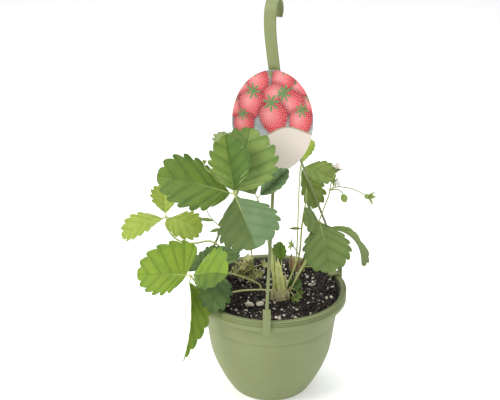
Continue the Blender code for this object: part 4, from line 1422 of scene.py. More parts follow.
@dataclass(frozen=True)
class Blade:
    """One leaflet, sepal or petal, from where it starts to its tip."""

    tip: Point
    width: float
    face: Point                       # direction that its upper side looks
    tone: Tone = Tone.MIDDLE
    base: Point | None = None         # start, where it isn't the leaf's node
    fold: float = 12.0                # degrees that each half rises from the midrib
    arch: float = 0.0                 # rise of the midrib between its ends
    teeth: int = 7                    # teeth along each side
    stalk: float = 0.005              # length of its own little stalk
    blunt: float = 0.55               # lower is blunter
    wedge: float = 0.9               # higher is more wedge shaped at the base
    skew: float = 0.0                 # share by which the right half is the wider
    lobe: float = 0.0                 # how far one half reaches back: right over 0
    bite: float = 1.0                 # depth of its teeth, as a share of the full depth

    def start(self, node: Point) -> Vector:
        """Where the blade starts: at its own base or past its little stalk.

        Args:
            node: where the leaflets of its leaf meet.

        Returns:
            The place.
        """
        if self.base:
            return Vector(self.base)
        return Vector(node) + (Vector(self.tip) - Vector(node)).normalized() * self.stalk

    def half_width(self, share: float, side: float) -> float:
        """The half width on a side, 1 or -1, at a share of the length.

        Args:
            share: the share of the length.
            side: 1 for the right side, -1 for the left.

        Returns:
            The half width, without the teeth.
        """
        wedge = self.wedge * (1.0 - 1.5 * self.skew * side)
        peak = wedge / (wedge + self.blunt)
        full = peak ** wedge * (1.0 - peak) ** self.blunt
        share = min(max(share, 0.0), 1.0)
        shape = share ** wedge * (1.0 - share) ** self.blunt / full
        return shape * self.width / 2 * (1.0 + self.skew * side)

    def tooth(self, v: float) -> float:
        """Gives the margin's wave there: 1 at the point of a tooth, -1 in a notch.

        Args:
            v: place along the margin, from 0 to 1.

        Returns:
            The wave, or 0 for a smooth margin.
        """
        if not self.teeth:
            return 0.0
        return 1.0 - 2.0 * (2.0 * abs((v * self.teeth + 0.5) % 1.0 - 0.5)) ** TOOTH_CURVE

    def point(self, length: float, u: float, v: float) -> Vector:
        """Gives a point of the blade along it, across it and above its chord.

        Args:
            length: the blade's length.
            u: place across, from -1 to 1.
            v: place along, from 0 at the base to 1 at the tip.

        Returns:
            The point.
        """
        share, side, step = along(v), (1.0 if u > 0 else -1.0), 0.01
        before, after = along(max(v - step, 0.0)), along(min(v + step, 1.0))
        widening = self.half_width(after, side) - self.half_width(before, side)
        run = Vector(((after - before) * length, widening)).normalized()
        bite = TOOTH_DEPTH * self.bite * length * self.tooth(v) * ramp(v, *TEETH_RISE)
        bite *= (FULL_TEETH / max(self.teeth, 1)) ** 0.7
        bite *= 1.0 - TIP_LOSS * ramp(v, *TIP_TEETH)
        lean = TOOTH_LEAN * (1.0 - ramp(v, *LEAN_LOSS))
        margin = Vector((share * length, self.half_width(share, side)))
        margin += bite * (Vector((-run.y, run.x)) + lean * run)
        margin.x -= max(self.lobe * side, 0.0) * length * 2.2 * math.sqrt(share) * (
            1.0 - share) ** 2
        margin.y = max(margin.y, 0.5 * MM)
        mid = share ** (VEIN_FAN if self.teeth else 1.0) * length
        x, y = mid + abs(u) * (margin.x - mid), abs(u) * margin.y
        fold, spot = math.radians(self.fold), min(max(x / length, 0.0), 1.0)
        rise = 4.0 * self.arch * spot * (1.0 - spot) + y * math.sin(fold)
        rise += self.relief(length, abs(u), v)
        return Vector((x, math.copysign(y * math.cos(fold), u), rise))

    def relief(self, length: float, out: float, v: float) -> float:
        """The quilting: cushions between sunk veins, and the groove of the midrib.

        Args:
            length: the blade's length.
            out: place from the midrib, at 0, to the margin, at 1.
            v: place along, from 0 to 1.

        Returns:
            The height that it adds.
        """
        if not self.teeth:
            return -0.02 * self.width * math.exp(-(out / 0.1) ** 2)
        near = abs(math.cos(math.pi * v * self.teeth))
        open_share = math.sin(math.pi * min(max(v, 0.0), 1.0)) ** 0.6
        cushion = QUILT * length * (0.6 - near ** 6) * open_share * min(out * 2.5, 1.0)
        groove = 0.7 * MM * math.exp(-(out / 0.06) ** 2) * (1.0 - 0.6 * v)
        return cushion - groove


def along(v: float) -> float:
    """The share of a blade's length that its margin has reached at v."""
    return 0.5 * v + 0.25 * (1.0 - math.cos(math.pi * v))


def ramp(v: float, start: float, end: float) -> float:
    """0 before the start and 1 after the end, with a smooth change between."""
    t = min(max((v - start) / (end - start), 0.0), 1.0)
    return t * t * (3.0 - 2.0 * t)


def blade_axes(base: Vector, blade: Blade) -> tuple[Vector, Vector, Vector, float]:
    """Gives a blade's directions along, across and up, and its length.

    Args:
        base: where it starts.
        blade: its form.

    Returns:
        The three directions and the length.
    """
    chord = Vector(blade.tip) - base
    ahead = chord.normalized()
    face = Vector(blade.face)
    above = (face - face.dot(ahead) * ahead).normalized()
    return ahead, ahead.cross(above), above, chord.length


def blade_body(name: str, base: Vector, blade: Blade, columns: int, rows: int,
               thickness: float) -> Object:
    """A folded, arched and toothed blade as a thin closed body.

    Args:
        name: the object's name.
        base: where it starts.
        blade: its form.
        columns: faces across it.
        rows: faces along it.
        thickness: its thickness.

    Returns:
        The blade. Its faces have material 0 above and 1 below.
    """
    ahead, across, above, length = blade_axes(base, blade)

    def spot(u: float, v: float) -> Vector:
        """The sheet's point at the shares across and along."""
        eased = math.copysign(abs(u) ** 1.15, u)
        x, y, z = blade.point(length, eased, (v + 1.0) / 2.0)
        place = base + ahead * x + across * y + above * z
        wobble = noise.noise(place * 75.0) * 0.9 * MM * abs(u)
        return place + above * (wobble if blade.teeth else 0.0)

    made = sheet(name, columns, rows, spot)
    far = made.data.attributes.new("along", "FLOAT", "POINT")
    for loop, layer in zip(made.data.loops, made.data.uv_layers.active.data):
        far.data[loop.vertex_index].value = layer.uv.y
        layer.uv.y *= blade.teeth or 5
    blade.tone.dress(made)
    apply_modifier(made, "SOLIDIFY", thickness=thickness, offset=0.0, material_offset=1,
                   material_offset_rim=0)
    return made


def stem(name: str, points: Sequence[Point], radius: float, taper: float,
         material: Material, spacing: float = 2.5 * MM, sides: int = 10,
         foot: float = 0.0) -> Object:
    """A round stem along points.

    Args:
        name: the object's name.
        points: its route.
        radius: its radius at the start.
        taper: the share of the radius that is left at its end.
        material: its finish.
        spacing: distance between its rings.
        sides: faces round it.
        foot: extra radius of the sheath at its foot.

    Returns:
        The stem.
    """
    path = smooth_path(points, spacing)
    length = sum((end - start).length for start, end in zip(path, path[1:]))

    def size(share: float) -> float:
        """The stem's radius at a share of the length."""
        sheath = foot * math.exp(-(share * length / (14.0 * MM)) ** 2)
        tip = 1.0 - 0.5 * ramp(share, 1.0 - radius / length, 1.0)
        return (radius * (1.0 + (taper - 1.0) * share) + sheath) * tip

    return coated(swept(name, path, round_section(size, sides)), material)


CROWNS = {                                # centre in the plan and radius
    "crown_front": (0.012, -0.019, 0.006),
    "crown_right": (0.032, 0.056, 0.0034),
    "crown_left": (-0.031, 0.056, 0.0034),
}
CROWN_REACH = 3.4 * MM
ROOT_Z = SOIL_Z - 10.0 * MM


def rooted(crown: str, bearing: float, *points: Point) -> tuple:
    """A stem's points: straight up beside its crown, then through the given ones.

    Args:
        crown: the crown that it grows from.
        bearing: where it leaves the crown, in degrees from +X.
        *points: the rest of its route.

    Returns:
        The points.
    """
    x, y, radius = CROWNS[crown]
    turn = math.radians(bearing)
    reach = radius + CROWN_REACH
    foot = (x + reach * math.cos(turn), y + reach * math.sin(turn))
    return ((*foot, ROOT_Z), (*foot, SOIL_Z + 4.5 * MM), *points)


@dataclass(frozen=True)
class Leaf:
    """A leaf: its stalk from the compost to the node, and its leaflets."""

    node: str
    slot: str
    stalk: tuple                      # points from the root to the node
    radius: float
    blades: tuple
    thickness: float = 0.45 * MM
    columns: int = 20
    rows_per_tooth: int = 10

    def make(self, finishes: Finishes) -> None:
        """Builds the leaf in place.

        Args:
            finishes: the shared materials.
        """
        node, below = Vector(self.stalk[-1]), Vector(self.stalk[-2])
        knuckle = node + (node - below).normalized() * self.radius
        pieces = [stem("stalk", [*self.stalk[:-1], knuckle], self.radius, 0.85,
                       finishes.stalk, foot=self.radius * 1.1)]
        for index, blade in enumerate(self.blades):
            base = blade.start(node)
            pieces.append(self.rib(index, node, base, blade, finishes))
            pieces.append(blade_body(f"blade_{index}", base, blade, self.columns,
                                     self.rows_per_tooth * blade.teeth, self.thickness))
        made = joined(self.node + "_fine", pieces)
        finished(smooth(made, 50.0), self.slot, [self.node])

    def rib(self, index: int, node: Vector, base: Vector, blade: Blade,
            finishes: Finishes) -> Object:
        """Models a leaflet's little stalk and the midrib that it runs into.

        Args:
            index: which leaflet.
            node: where the leaflets meet.
            base: where this one starts.
            blade: its form.
            finishes: the shared materials.

        Returns:
            The stalk and rib, as one stem.
        """
        ahead, _, above, length = blade_axes(base, blade)
        points = [node, base]
        for share in (0.12, 0.3, 0.5):
            x, _, z = blade.point(length, 0.0, share)
            points.append(base + ahead * x + above * (z - 0.35 * MM))
        return stem(f"rib_{index}", points, self.radius * 0.75, 0.22, finishes.stalk,
                    sides=8)


LEAVES = (
    Leaf("leaf_front", "leaf_dark", rooted(
        "crown_front", 200, (0.003, -0.024, 0.165), (-0.002, -0.034, 0.21),
        (-0.017, -0.05, 0.257), (-0.045, -0.068, 0.291)), 0.0015, (
        Blade((-0.131, -0.08, 0.318), 0.069, (0.0, -0.6, 0.8), Tone.OLD, fold=10,
              arch=0.003, teeth=8, skew=-0.12, bite=0.85),
        Blade((-0.026, -0.055, 0.366), 0.066, (0.05, -0.9, 0.35), Tone.BROAD, fold=16,
              arch=0.004, teeth=8, skew=0.2),
        Blade((-0.054, -0.076, 0.365), 0.05, (0.05, -0.95, 0.3), Tone.FOLDED, fold=28,
              arch=0.003, teeth=8),
        Blade((-0.02, -0.0973, 0.236), 0.073, (0.1, -0.75, 0.6), Tone.SILVER, fold=8,
              arch=0.0056, teeth=8, bite=0.85))),
    Leaf("leaf_far_left", "leaf_bright", rooted(
        "crown_left", 230, (-0.047, 0.048, 0.151), (-0.064, 0.042, 0.172),
        (-0.078, 0.038, 0.183), (-0.096, 0.04, 0.179), (-0.114, 0.042, 0.18),
        (-0.128, 0.04, 0.193), (-0.133, 0.04, 0.216)), 0.0014, (
        Blade((-0.187, 0.025, 0.194), 0.04, (-0.2, -0.35, 0.9), Tone.LIME, fold=10,
              arch=0.006),
        Blade((-0.088, 0.045, 0.197), 0.042, (0.1, -0.6, 0.8), Tone.LIME, fold=8,
              arch=0.002, skew=0.2, lobe=0.35),
        Blade((-0.138, 0.065, 0.25), 0.034, (0.2, -0.7, 0.6), Tone.LIME, fold=12))),
    Leaf("leaf_low_left", "leaf_bright", rooted(
        "crown_front", 155, (-0.009, -0.012, 0.1385), (-0.033, -0.02, 0.142),
        (-0.055, -0.03, 0.144), (-0.076, -0.036, 0.149), (-0.089, -0.039, 0.158),
        (-0.099, -0.042, 0.174)), 0.0013, (
        Blade((-0.162, -0.05, 0.178), 0.066, (0.0, -0.75, 0.65), Tone.SUNNY, fold=6,
              arch=0.003, teeth=8, skew=0.25, wedge=0.6, blunt=0.6, lobe=0.6),
        Blade((-0.0535, -0.073, 0.19), 0.06, (0.1, -0.6, 0.75), Tone.HALF_LIT, fold=22,
              arch=0.004, wedge=1.3, blunt=0.45),
        Blade((-0.1069, -0.09, 0.0828), 0.043, (0.75, -0.6, 0.2), Tone.SUNNY, fold=40,
              arch=0.008, teeth=8, stalk=0.009, blunt=1.4, wedge=0.8, bite=0.45))),
    Leaf("leaf_under", "leaf_dark", (
        (-0.014, 0.004, ROOT_Z), (-0.014, 0.004, SOIL_Z + 0.0045),
        (-0.033, -0.003, 0.151), (-0.052, -0.01, 0.161), (-0.066, -0.018, 0.168)),
        0.0011, (
        Blade((-0.0585, 0.007, 0.1895), 0.046, (-0.2, -0.8, 0.5), Tone.SHADE, fold=10),
        Blade((-0.0715, -0.077, 0.142), 0.038, (0.1, -0.6, 0.8), Tone.SHADE, fold=8,
              arch=0.009),
        Blade((-0.1, 0.012, 0.17), 0.036, (-0.1, -0.4, 0.9), Tone.SHADE, fold=8,
              teeth=5))),
    Leaf("leaf_middle", "leaf_mid", rooted(
        "crown_front", 115, (0.001, -0.016, 0.165), (-0.005, -0.032, 0.216),
        (-0.012, -0.046, 0.255), (-0.018, -0.056, 0.281)), 0.0011, (
        Blade((0.018, -0.054, 0.3155), 0.034, (0.1, -0.8, 0.5), Tone.BLUISH, fold=52,
              arch=0.004, bite=0.4),
        Blade((-0.044, -0.036, 0.322), 0.04, (0.0, -0.7, 0.6), Tone.MIDDLE, fold=10))),
    Leaf("leaf_back", "leaf_mid", rooted(
        "crown_left", 20, (-0.026, 0.054, 0.1699), (-0.0421, 0.045, 0.2182),
        (-0.0441, 0.043, 0.2766)), 0.0011, (
        Blade((-0.062, 0.031, 0.332), 0.034, (0.2, 0.8, 0.4), fold=8, arch=0.004),
        Blade((-0.014, 0.064, 0.3149), 0.044, (0.0, 0.7, 0.6), fold=10, teeth=6),
        Blade((-0.0804, 0.064, 0.2645), 0.04, (-0.2, 0.1, 0.9), fold=10, teeth=6))),
    Leaf("leaf_behind_right", "leaf_bright", rooted(
        "crown_right", 90, (0.0346, 0.062, 0.1584), (0.0356, 0.052, 0.2482),
        (0.0366, 0.048, 0.2815)), 0.001, (
        Blade((0.0497, 0.062, 0.3118), 0.036, (-0.5, -0.6, 0.5), Tone.LIME, fold=24,
              arch=0.003),
        Blade((0.078, 0.027, 0.2715), 0.034, (0.1, -0.6, 0.8), Tone.SOFT, fold=12,
              arch=0.003, teeth=6, bite=0.6),
        Blade((0.055, 0.034, 0.231), 0.034, (0.3, -0.7, 0.5), Tone.SOFT, fold=26,
              arch=0.004, teeth=6))),
    Leaf("leaf_right", "leaf_mid", rooted(
        "crown_front", 350, (0.035, -0.018, 0.166), (0.044, -0.016, 0.184),
        (0.051, -0.013, 0.207), (0.058, -0.01, 0.232)), 0.0012, (
        Blade((0.0375, -0.026, 0.24), 0.032, (0.0, -0.8, 0.6), Tone.MIDDLE, fold=8,
              teeth=4, stalk=0.002),
        Blade((0.0695, -0.045, 0.18), 0.058, (0.1, -0.85, 0.5), Tone.MIDDLE, fold=8,
              arch=0.009, teeth=8, stalk=0.002, bite=0.75),
        Blade((0.114, 0.007, 0.164), 0.034, (0.8, 0.15, 0.5), Tone.SOFT, fold=24,
              arch=0.015, teeth=7, stalk=0.014, blunt=0.35, bite=0.5))),
    Leaf("leaf_young", "leaf_mid", rooted(
        "crown_front", 265, (0.012, -0.0265, 0.165), (0.012, -0.026, 0.184)), 0.0009, (
        Blade((0.01, -0.028, 0.212), 0.02, (-0.3, -0.8, 0.3), Tone.OLD, fold=30,
              teeth=5, stalk=0.003, bite=0.5),)),
)


def star(centre: Vector, axis: Vector, count: int, length: float, width: float,
         lift: float, turn: float = 0.0, reach: float = 0.8 * MM,
         **shape: object) -> list[Blade]:
    """Blades that spread round an axis, as sepals and petals do.

    Args:
        centre: the middle that they spread from.
        axis: the direction that the flower looks.
        count: how many.
        length: their length.
        width: their width.
        lift: degrees that they rise from flat.
        turn: turn of the first, in radians.
        reach: distance of their feet from the middle.
        **shape: other fields of the blade.

    Returns:
        The blades.
    """
    axis = Vector(axis).normalized()
    side = axis.orthogonal().normalized()
    blades = []
    for index in range(count):
        out = Matrix.Rotation(2 * math.pi * index / count + turn, 3, axis) @ side
        slope = math.radians(lift)
        way = out * math.cos(slope) + axis * math.sin(slope)
        look = axis * math.cos(slope) - out * math.sin(slope)
        foot = Vector(centre) + out * reach
        blades.append(Blade(tuple(foot + way * length), width, tuple(look),
                            base=tuple(foot), teeth=0, **shape))
    return blades


@dataclass
class Spray:
    """A flower stalk with its branches, bracts, calyces and buds."""

    node: str
    crown: str
    bearing: float
    radius: float
    taper: float
    route: tuple
    pedicels: tuple = ()              # each the points of a thin stalk
    bracts: tuple = ()                # each a base, a tip and a width
    calyces: tuple = ()               # each a centre, axis, size, lift and turn
    buds: tuple = ()                  # each a centre, axis, radius and length
    side: tuple = ()
    pedicel_radius: float = 0.75 * MM
    sepals: str = "sepal"             # which of the shared finishes its sepals have

    def calyx(self, centre: Point, axis: Point, size: float, lift: float,
              turn: float, finishes: Finishes) -> list[Object]:
        """Models a calyx: its cup, five sepals and five narrow ones between them.

        Args:
            centre: the middle of the cup's mouth.
            axis: the direction that it looks.
            size: the sepals' length.
            lift: degrees that they rise from flat.
            turn: turn of the first, in radians.
            finishes: the shared materials.

        Returns:
            The pieces.
        """
        centre, axis = Vector(centre), Vector(axis).normalized()
        finish = getattr(finishes, self.sepals)
        cup = placed(ball("cup", 12, 8, size * 0.28), Matrix.Translation(
            centre - axis * size * 0.12) @ turn_to(axis) @ stretch(1.0, 1.0, 0.8))
        pieces = [coated(cup, finish)]
        blades = star(centre, axis, 5, size, size * 0.42, lift, turn, blunt=1.0, wedge=0.6,
                      fold=6.0, arch=size * 0.08)
        blades += star(centre - axis * 0.3 * MM, axis, 5, size * 0.8, size * 0.2, lift - 14,
                       turn + math.pi / 5, blunt=0.9, wedge=0.5, fold=4.0)
        for index, blade in enumerate(blades):
            pieces.append(coated(blade_body(f"sepal_{index}", Vector(blade.base), blade, 6, 8,
                                            0.35 * MM), finish))
        return pieces

    def make(self, finishes: Finishes) -> None:
        """Builds the spray in place.

        Args:
            finishes: the shared materials.
        """
        pieces = [stem("stem", rooted(self.crown, self.bearing, *self.route), self.radius,
                       self.taper, finishes.stem, foot=self.radius * 0.5)]
        if self.side:
            pieces.append(stem("side", self.side, 0.8 * MM, 0.7, finishes.stem))
        for points in self.pedicels:
            pieces.append(stem("pedicel", points, self.pedicel_radius, 0.9, finishes.stem,
                               spacing=1.5 * MM, sides=8))
        for base, tip, width in self.bracts:
            bract = Blade(tip, width, (0.0, -0.5, 1.0), Tone.MIDDLE, teeth=0, blunt=0.9)
            pieces.append(blade_body("bract", Vector(base), bract, 6, 12, 0.35 * MM))
        for calyx in self.calyces:
            pieces += self.calyx(*calyx, finishes)
        for centre, axis, radius, length in self.buds:
            bud = placed(ball("bud", 16, 12, radius), Matrix.Translation(centre)
                         @ turn_to(axis) @ stretch(1.0, 1.0, length / (2 * radius)))
            pieces.append(coated(bud, finishes.sepal))
        made = joined(self.node + "_fine", pieces)
        finished(smooth(made, 50.0), "stem", [self.node])


FLOWERS = (                               # name, centre, axis, calyx size, petals' lift
    ("open", (0.0775, 0.003, 0.2925), (0.15, -0.1, 1.0), 0.0085, 50),
    ("closing", (0.0745, -0.0045, 0.2805), (0.7, -0.5, 0.1), 0.007, 60),
)
RIGHT_FORK = (0.0708, 0.006, 0.2655)
LOW_FORK = (-0.0205, 0.04, 0.1415)
LOW_ENDS = (((-0.0278, 0.032, 0.1604), (-0.2, -0.3, 1.0)),
            ((-0.0431, 0.022, 0.1483), (-1.0, -0.4, 0.3)),
            ((-0.0156, 0.023, 0.144), (0.2, -1.0, 0.4)),
            ((-0.036, 0.024, 0.142), (-0.5, -1.0, 0.1)),
            ((-0.033, 0.03, 0.152), (-0.6, -0.6, 0.6)),
            ((-0.048, 0.031, 0.144), (-1.0, 0.1, 0.5)),
            ((-0.009, 0.03, 0.153), (0.8, -0.4, 0.9)),
            ((-0.024, 0.019, 0.14), (0.0, -1.0, 0.2)))


def low_arches() -> tuple:
    """The arching stalks of the low spray, from its fork to each old calyx."""
    lift = Vector((0.0, 0.0, 3.0 * MM))
    return tuple((LOW_FORK, (Vector(LOW_FORK) + Vector(end)) / 2 + lift, end)
                 for end, _ in LOW_ENDS)


SPRAYS = (
    Spray("spray_right", "crown_front", 25, 0.001, 0.8,
          ((0.025, -0.01, 0.146), (0.036, -0.005, 0.163), (0.045, 0.000, 0.181),
           (0.053, 0.003, 0.202), (0.06, 0.006, 0.228), (0.07, 0.006, 0.259),
           (0.071, 0.006, 0.267)),
          pedicels=((RIGHT_FORK, (0.0725, 0.005, 0.275), (0.077, 0.003, 0.29)),
                    (RIGHT_FORK, (0.0745, 0.000, 0.272), (0.0745, -0.004, 0.279)),
                    (RIGHT_FORK, (0.079, 0.001, 0.269), (0.0845, -0.003, 0.2675),
                     (0.0865, -0.004, 0.264)),
                    (RIGHT_FORK, (0.08, 0.008, 0.2695), (0.096, 0.008, 0.2675),
                     (0.108, 0.008, 0.2625), (0.117, 0.008, 0.257)),
                    ((0.02, -0.019, 0.14), (0.027, -0.021, 0.145),
                     (0.0335, -0.023, 0.14)),
                    ((0.019, -0.022, 0.139), (0.024, -0.027, 0.143),
                     (0.029, -0.031, 0.1385))),
          calyces=(*((centre, axis, size, 34, 0.0) for _, centre, axis, size, _ in FLOWERS),
                   ((0.118, 0.008, 0.2565), (0.9, 0.0, -0.25), 0.012, 40, 0.5),
                   ((0.034, -0.0235, 0.1395), (0.6, -0.6, -0.1), 0.008, 25, 0.2),
                   ((0.0295, -0.0315, 0.138), (0.2, -1.0, -0.1), 0.007, 25, 0.0)),
          buds=(((0.088, -0.0042, 0.2595), (0.3, 0.0, -1.0), 0.0042, 0.011),),
          side=((0.0385, -0.0035, 0.1675), (0.047, -0.003, 0.1665),
                (0.056, -0.002, 0.167))),
    Spray("spray_middle", "crown_front", 65, 0.0013, 0.75,
          ((0.02, -0.004, 0.14), (0.032, 0.01, 0.166), (0.036, 0.012, 0.18),
           (0.038, 0.014, 0.212), (0.04, 0.014, 0.23), (0.0427, 0.0115, 0.251),
           (0.0426, 0.0115, 0.266)),
          pedicels=(((0.0352, 0.012, 0.1745), (0.031, 0.0095, 0.184),
                     (0.0265, 0.006, 0.1915)),),
          bracts=(((0.0375, 0.014, 0.211), (0.022, 0.008, 0.2135), 0.0045),),
          calyces=(((0.0258, 0.0055, 0.1925), (-0.9, -0.3, 0.3), 0.0075, 20, 0.0),)),
    Spray("spray_left", "crown_left", 290, 0.0008, 0.75,
          ((-0.044, 0.036, 0.15), (-0.0575, 0.035, 0.189), (-0.063, 0.03, 0.205),
           (-0.068, 0.028, 0.211), (-0.079, 0.022, 0.229), (-0.083, 0.016, 0.262),
           (-0.082, 0.012, 0.298)),
          bracts=(((-0.072, 0.0255, 0.2165), (-0.091, 0.03, 0.2175), 0.006),
                  ((-0.0625, 0.03, 0.2035), (-0.077, 0.026, 0.201), 0.006)),
          calyces=(((-0.082, 0.012, 0.299), (0.0, -0.2, 1.0), 0.0045, 60, 0.0),)),
    Spray("spray_low", "crown_left", 335, 0.0009, 0.9,
          ((-0.024, 0.048, 0.139), LOW_FORK), pedicels=low_arches(),
          calyces=tuple((end, axis, 0.0075, 25, 0.0) for end, axis in LOW_ENDS),
          sepals="husk"),
)


@dataclass
class Blooms:
    """The white petals of each flower and the yellow middle of the open one."""

    petals: int = 5
    anthers: int = 18
    dome: float = 1.2 * MM            # radius of the eye's dome

    def flower(self, name: str, centre: Point, axis: Point, size: float, lift: float,
               finishes: Finishes) -> None:
        """Builds one flower's petals round its receptacle.

        Args:
            name: which flower.
            centre: the middle of its calyx.
            axis: the direction that it looks.
            size: its petals' length.
            lift: degrees that they rise from flat.
            finishes: the shared materials.
        """
        axis = Vector(axis).normalized()
        seat = Vector(centre) + axis * 1.9 * MM
        disc = placed(ball("receptacle", 16, 8, 1.7 * MM), Matrix.Translation(seat)
                      @ turn_to(axis) @ stretch(1.0, 1.0, 0.45))
        pieces = [coated(disc, finishes.petal)]
        for blade in star(seat, axis, self.petals, size, size * 0.62, lift, 0.6, 0.9 * MM,
                          blunt=0.4, wedge=0.8, fold=-8.0, arch=size * 0.08):
            pieces.append(coated(blade_body("petal", Vector(blade.base), blade, 8, 12,
                                            0.25 * MM), finishes.petal))
        made = joined(f"petals_{name}_fine", pieces)
        finished(smooth(made, 60.0), "petal", [f"petals_{name}"])

    def eye(self, finishes: Finishes) -> None:
        """Builds the open flower's eye: a knobbly dome in a ring of anthers.

        Args:
            finishes: the shared materials.
        """
        low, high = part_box("eye_open")
        middle = (low + high) / 2
        axis = Vector(FLOWERS[0][2]).normalized()
        dome = lump("dome", 3, 0.18, 2.0)
        places = [(0, Matrix.Translation(middle) @ turn_to(axis)
                   @ Matrix.Scale(self.dome, 4))]
        anther = lump("anther", 1, 0.2, 8.0)
        side = axis.orthogonal().normalized()
        for index in range(self.anthers):
            turn = Matrix.Rotation(index * math.radians(137.5), 3, axis)
            reach = (1.1 + 0.35 * (index % 2)) * MM
            spot = middle + (turn @ side) * reach - axis * (0.2 + 0.3 * (index % 3)) * MM
            places.append((1, Matrix.Translation(spot) @ Matrix.Scale(0.24 * MM, 4)))
        made = coated(scattered("eye_open_fine", [dome, anther], places), finishes.pollen)
        finished(smooth(made, 60.0), "eye", ["eye_open"])

    def make(self, finishes: Finishes) -> None:
        """Builds both flowers and the eye.

        Args:
            finishes: the shared materials.
        """
        for name, centre, axis, size, lift in FLOWERS:
            self.flower(name, centre, axis, size, lift, finishes)
        self.eye(finishes)


@dataclass(frozen=True)
class Sheath:
    """A stipule or an old leaf base that stands beside a crown."""

    finish: str                       # which of the shared finishes
    base: Point
    tip: Point
    width: float
    fold: float = 40.0
    face: Point = (0.0, -1.0, 0.2)


SHEATHS = {
    "crown_front": (
        Sheath("sheath", (0.009, -0.0235, 0.138), (0.0000, -0.0275, 0.205),
               0.0105, 32, (-0.2, -1.0, 0.1)),
        Sheath("sheath", (0.0128, -0.026, 0.138), (0.007, -0.0305, 0.191),
               0.0112, 28, (0.25, -1.0, 0.2)),
        Sheath("crown", (0.015, -0.0245, 0.138), (0.0168, -0.0265, 0.168), 0.0085, 30),
        Sheath("crown", (0.0072, -0.0265, 0.132), (0.0015, -0.03, 0.151),
               0.0135, 25, (-0.3, -1.0, 0.3)),
        Sheath("crown", (0.012, -0.0285, 0.132), (0.01, -0.0325, 0.149),
               0.014, 22, (0.0, -1.0, 0.35)),
        Sheath("crown", (0.016, -0.0265, 0.132), (0.02, -0.0295, 0.147),
               0.011, 25, (0.3, -1.0, 0.3)),
        Sheath("dry", (0.0175, -0.025, 0.134), (0.0235, -0.028, 0.152),
               0.006, 45, (0.4, -1.0, 0.2)),
        Sheath("rust", (0.016, -0.029, 0.133), (0.019, -0.033, 0.14), 0.0045, 20),
        Sheath("rust", (0.008, -0.029, 0.133), (0.0045, -0.033, 0.138),
               0.0045, 20, (-0.3, -1.0, 0.2))),
    "crown_right": (
        Sheath("dry", (0.0285, 0.051, 0.134), (0.027, 0.049, 0.16), 0.0085, 30),
        Sheath("dry", (0.034, 0.051, 0.134), (0.037, 0.047, 0.158),
               0.007, 35, (0.2, -1.0, 0.2)),
        Sheath("rust", (0.039, 0.05, 0.134), (0.044, 0.046, 0.162),
               0.005, 45, (0.4, -1.0, 0.2)),
        Sheath("sheath", (0.04, 0.048, 0.134), (0.049, 0.042, 0.163),
               0.0055, 50, (0.4, -1.0, 0.2))),
    "crown_left": (
        Sheath("dry", (-0.03, 0.043, 0.134), (-0.029, 0.041, 0.166), 0.006, 50),
        Sheath("sheath", (-0.026, 0.045, 0.134), (-0.0225, 0.042, 0.158), 0.005, 50),
        Sheath("dry", (-0.034, 0.045, 0.134), (-0.039, 0.041, 0.156),
               0.0055, 45, (-0.3, -1.0, 0.2))),
}


@dataclass
class Crowns:
    """The short crowns, sheathed in the bases of old and young leaves."""

    top: float = SOIL_Z + 9.5 * MM
    scales: int = 6
    young: Blade = Blade((0.0375, -0.013, 0.15), 0.017, (0.1, -0.8, 0.6), Tone.SHADE,
                         base=(0.02, -0.015, 0.143), fold=25, arch=0.003, teeth=5)

    def make(self, finishes: Finishes) -> None:
        """Builds each crown in place.

        Args:
            finishes: the shared materials.
        """
        for name, (x, y, radius) in CROWNS.items():
            height = self.top - ROOT_Z
            core = lump("core", 4, 0.22, x * 1000)
            placed(core, Matrix.Translation((x, y, ROOT_Z + height / 2))
                   @ stretch(radius * 1.4, radius * 1.4, height * 0.56))
            pieces = [coated(core, finishes.crown)]
            top = Vector((x, y, self.top - 6.0 * MM))
            dressed = [(blade, finishes.crown) for blade in star(
                top, UP, self.scales, 15 * MM, radius * 1.3, 80, 0.4, radius * 0.75,
                blunt=0.8, wedge=0.3)]
            for sheath in SHEATHS[name]:
                blade = Blade(sheath.tip, sheath.width, sheath.face, base=sheath.base,
                              fold=sheath.fold, teeth=0, blunt=0.7, wedge=0.25)
                dressed.append((blade, getattr(finishes, sheath.finish)))
            for blade, material in dressed:
                pieces.append(coated(blade_body("scale", Vector(blade.base), blade, 8, 12,
                                                0.6 * MM), material))
            if name == "crown_front":
                pieces.append(blade_body("young", Vector(self.young.base), self.young, 12,
                                         40, 0.4 * MM))
            made = joined(name + "_fine", pieces)
            finished(smooth(made, 60.0), "crown", [name])


# --- studio -----------------------------------------------------------------

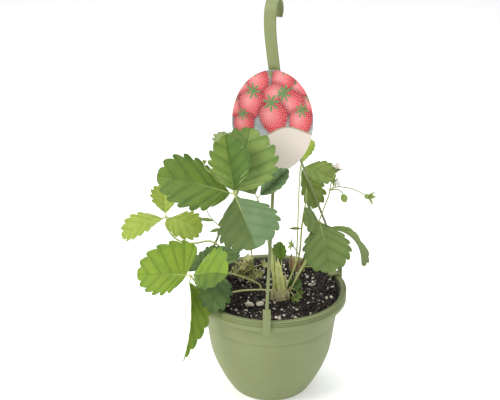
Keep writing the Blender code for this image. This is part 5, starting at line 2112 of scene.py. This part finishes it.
@dataclass
class Studio:
    """The pale floor, the soft lights and the camera."""

    pitch: float = 22.4
    eye: Point = (-0.0265, -1.253, 0.7718)
    lens: float = 79.92
    floor_tint: str = "#fcfcfb"
    floor_size: float = 14.0
    floor_glow: float = 0.3          # keeps the paper white in the plant's shade
    daylight: float = 0.58
    sensor: float = 36.0
    aim: Point = (0.0, 0.0, 0.22)
    lamps: tuple = (                  # name, place, side in metres, watts and tint
        ("key", (-1.5, -0.9, 1.5), 1.0, 31.5, "#fffaf2"),
        ("fill", (1.5, -1.0, 0.9), 1.4, 4.0, "#f2f6ff"),
        ("top", (0.1, 0.5, 1.8), 1.2, 14.0, "#ffffff"))

    def lamp(self, name: str, place: Point, size: float, power: float, tint: str) -> None:
        """Adds one soft square lamp that faces the plant.

        Args:
            name: the lamp's name.
            place: where it hangs.
            size: the length of its side.
            power: its power in watts.
            tint: its colour.
        """
        bpy.ops.object.light_add(type="AREA", location=place)
        lamp = named(name)
        lamp.data.size = size
        lamp.data.energy = power
        lamp.data.color = linear(tint)[:3]
        aim = Vector(self.aim) - Vector(place)
        lamp.rotation_euler = aim.to_track_quat("-Z", "Y").to_euler()

    def make(self) -> None:
        """Builds the floor, the world, the lamps and the camera."""
        bpy.ops.object.select_all(action="DESELECT")
        bpy.ops.mesh.primitive_plane_add(size=self.floor_size)
        floor = named("floor")
        made, tree = new_material("paper sweep, matt")
        surface(tree, linear(self.floor_tint), 0.9, Emission_Color=linear("#ffffff"),
                Emission_Strength=self.floor_glow)
        floor.data.materials.append(made)
        world = bpy.context.scene.world or bpy.data.worlds.new("studio")
        bpy.context.scene.world = world
        world.use_nodes = True
        back = world.node_tree.nodes["Background"]
        back.inputs["Color"].default_value = linear("#fbfcff")
        back.inputs["Strength"].default_value = self.daylight
        for lamp in self.lamps:
            self.lamp(*lamp)
        bpy.ops.object.camera_add(location=self.eye,
                                  rotation=(math.radians(90.0 - self.pitch), 0.0, 0.0))
        camera = named("camera")
        camera.data.lens = self.lens
        camera.data.sensor_width = self.sensor
        camera.data.clip_start = 0.05
        bpy.context.scene.camera = camera
        bpy.context.scene.view_settings.view_transform = "Standard"


def main() -> None:
    """Builds the studio and every piece in order."""
    logging.basicConfig(level=logging.INFO, format="%(name)s: %(message)s")
    bpy.ops.object.select_all(action="DESELECT")
    Studio().make()
    finishes = Finishes()
    pot, card = Pot(), Card()
    pot.make(finishes)
    Hanger().make(finishes, card)
    card.make(finishes)
    Soil().make(finishes, pot)
    Crowns().make(finishes)
    for leaf in LEAVES:
        leaf.make(finishes)
    for spray in SPRAYS:
        spray.make(finishes)
    Blooms().make(finishes)


if __name__ == "__main__":
    main()
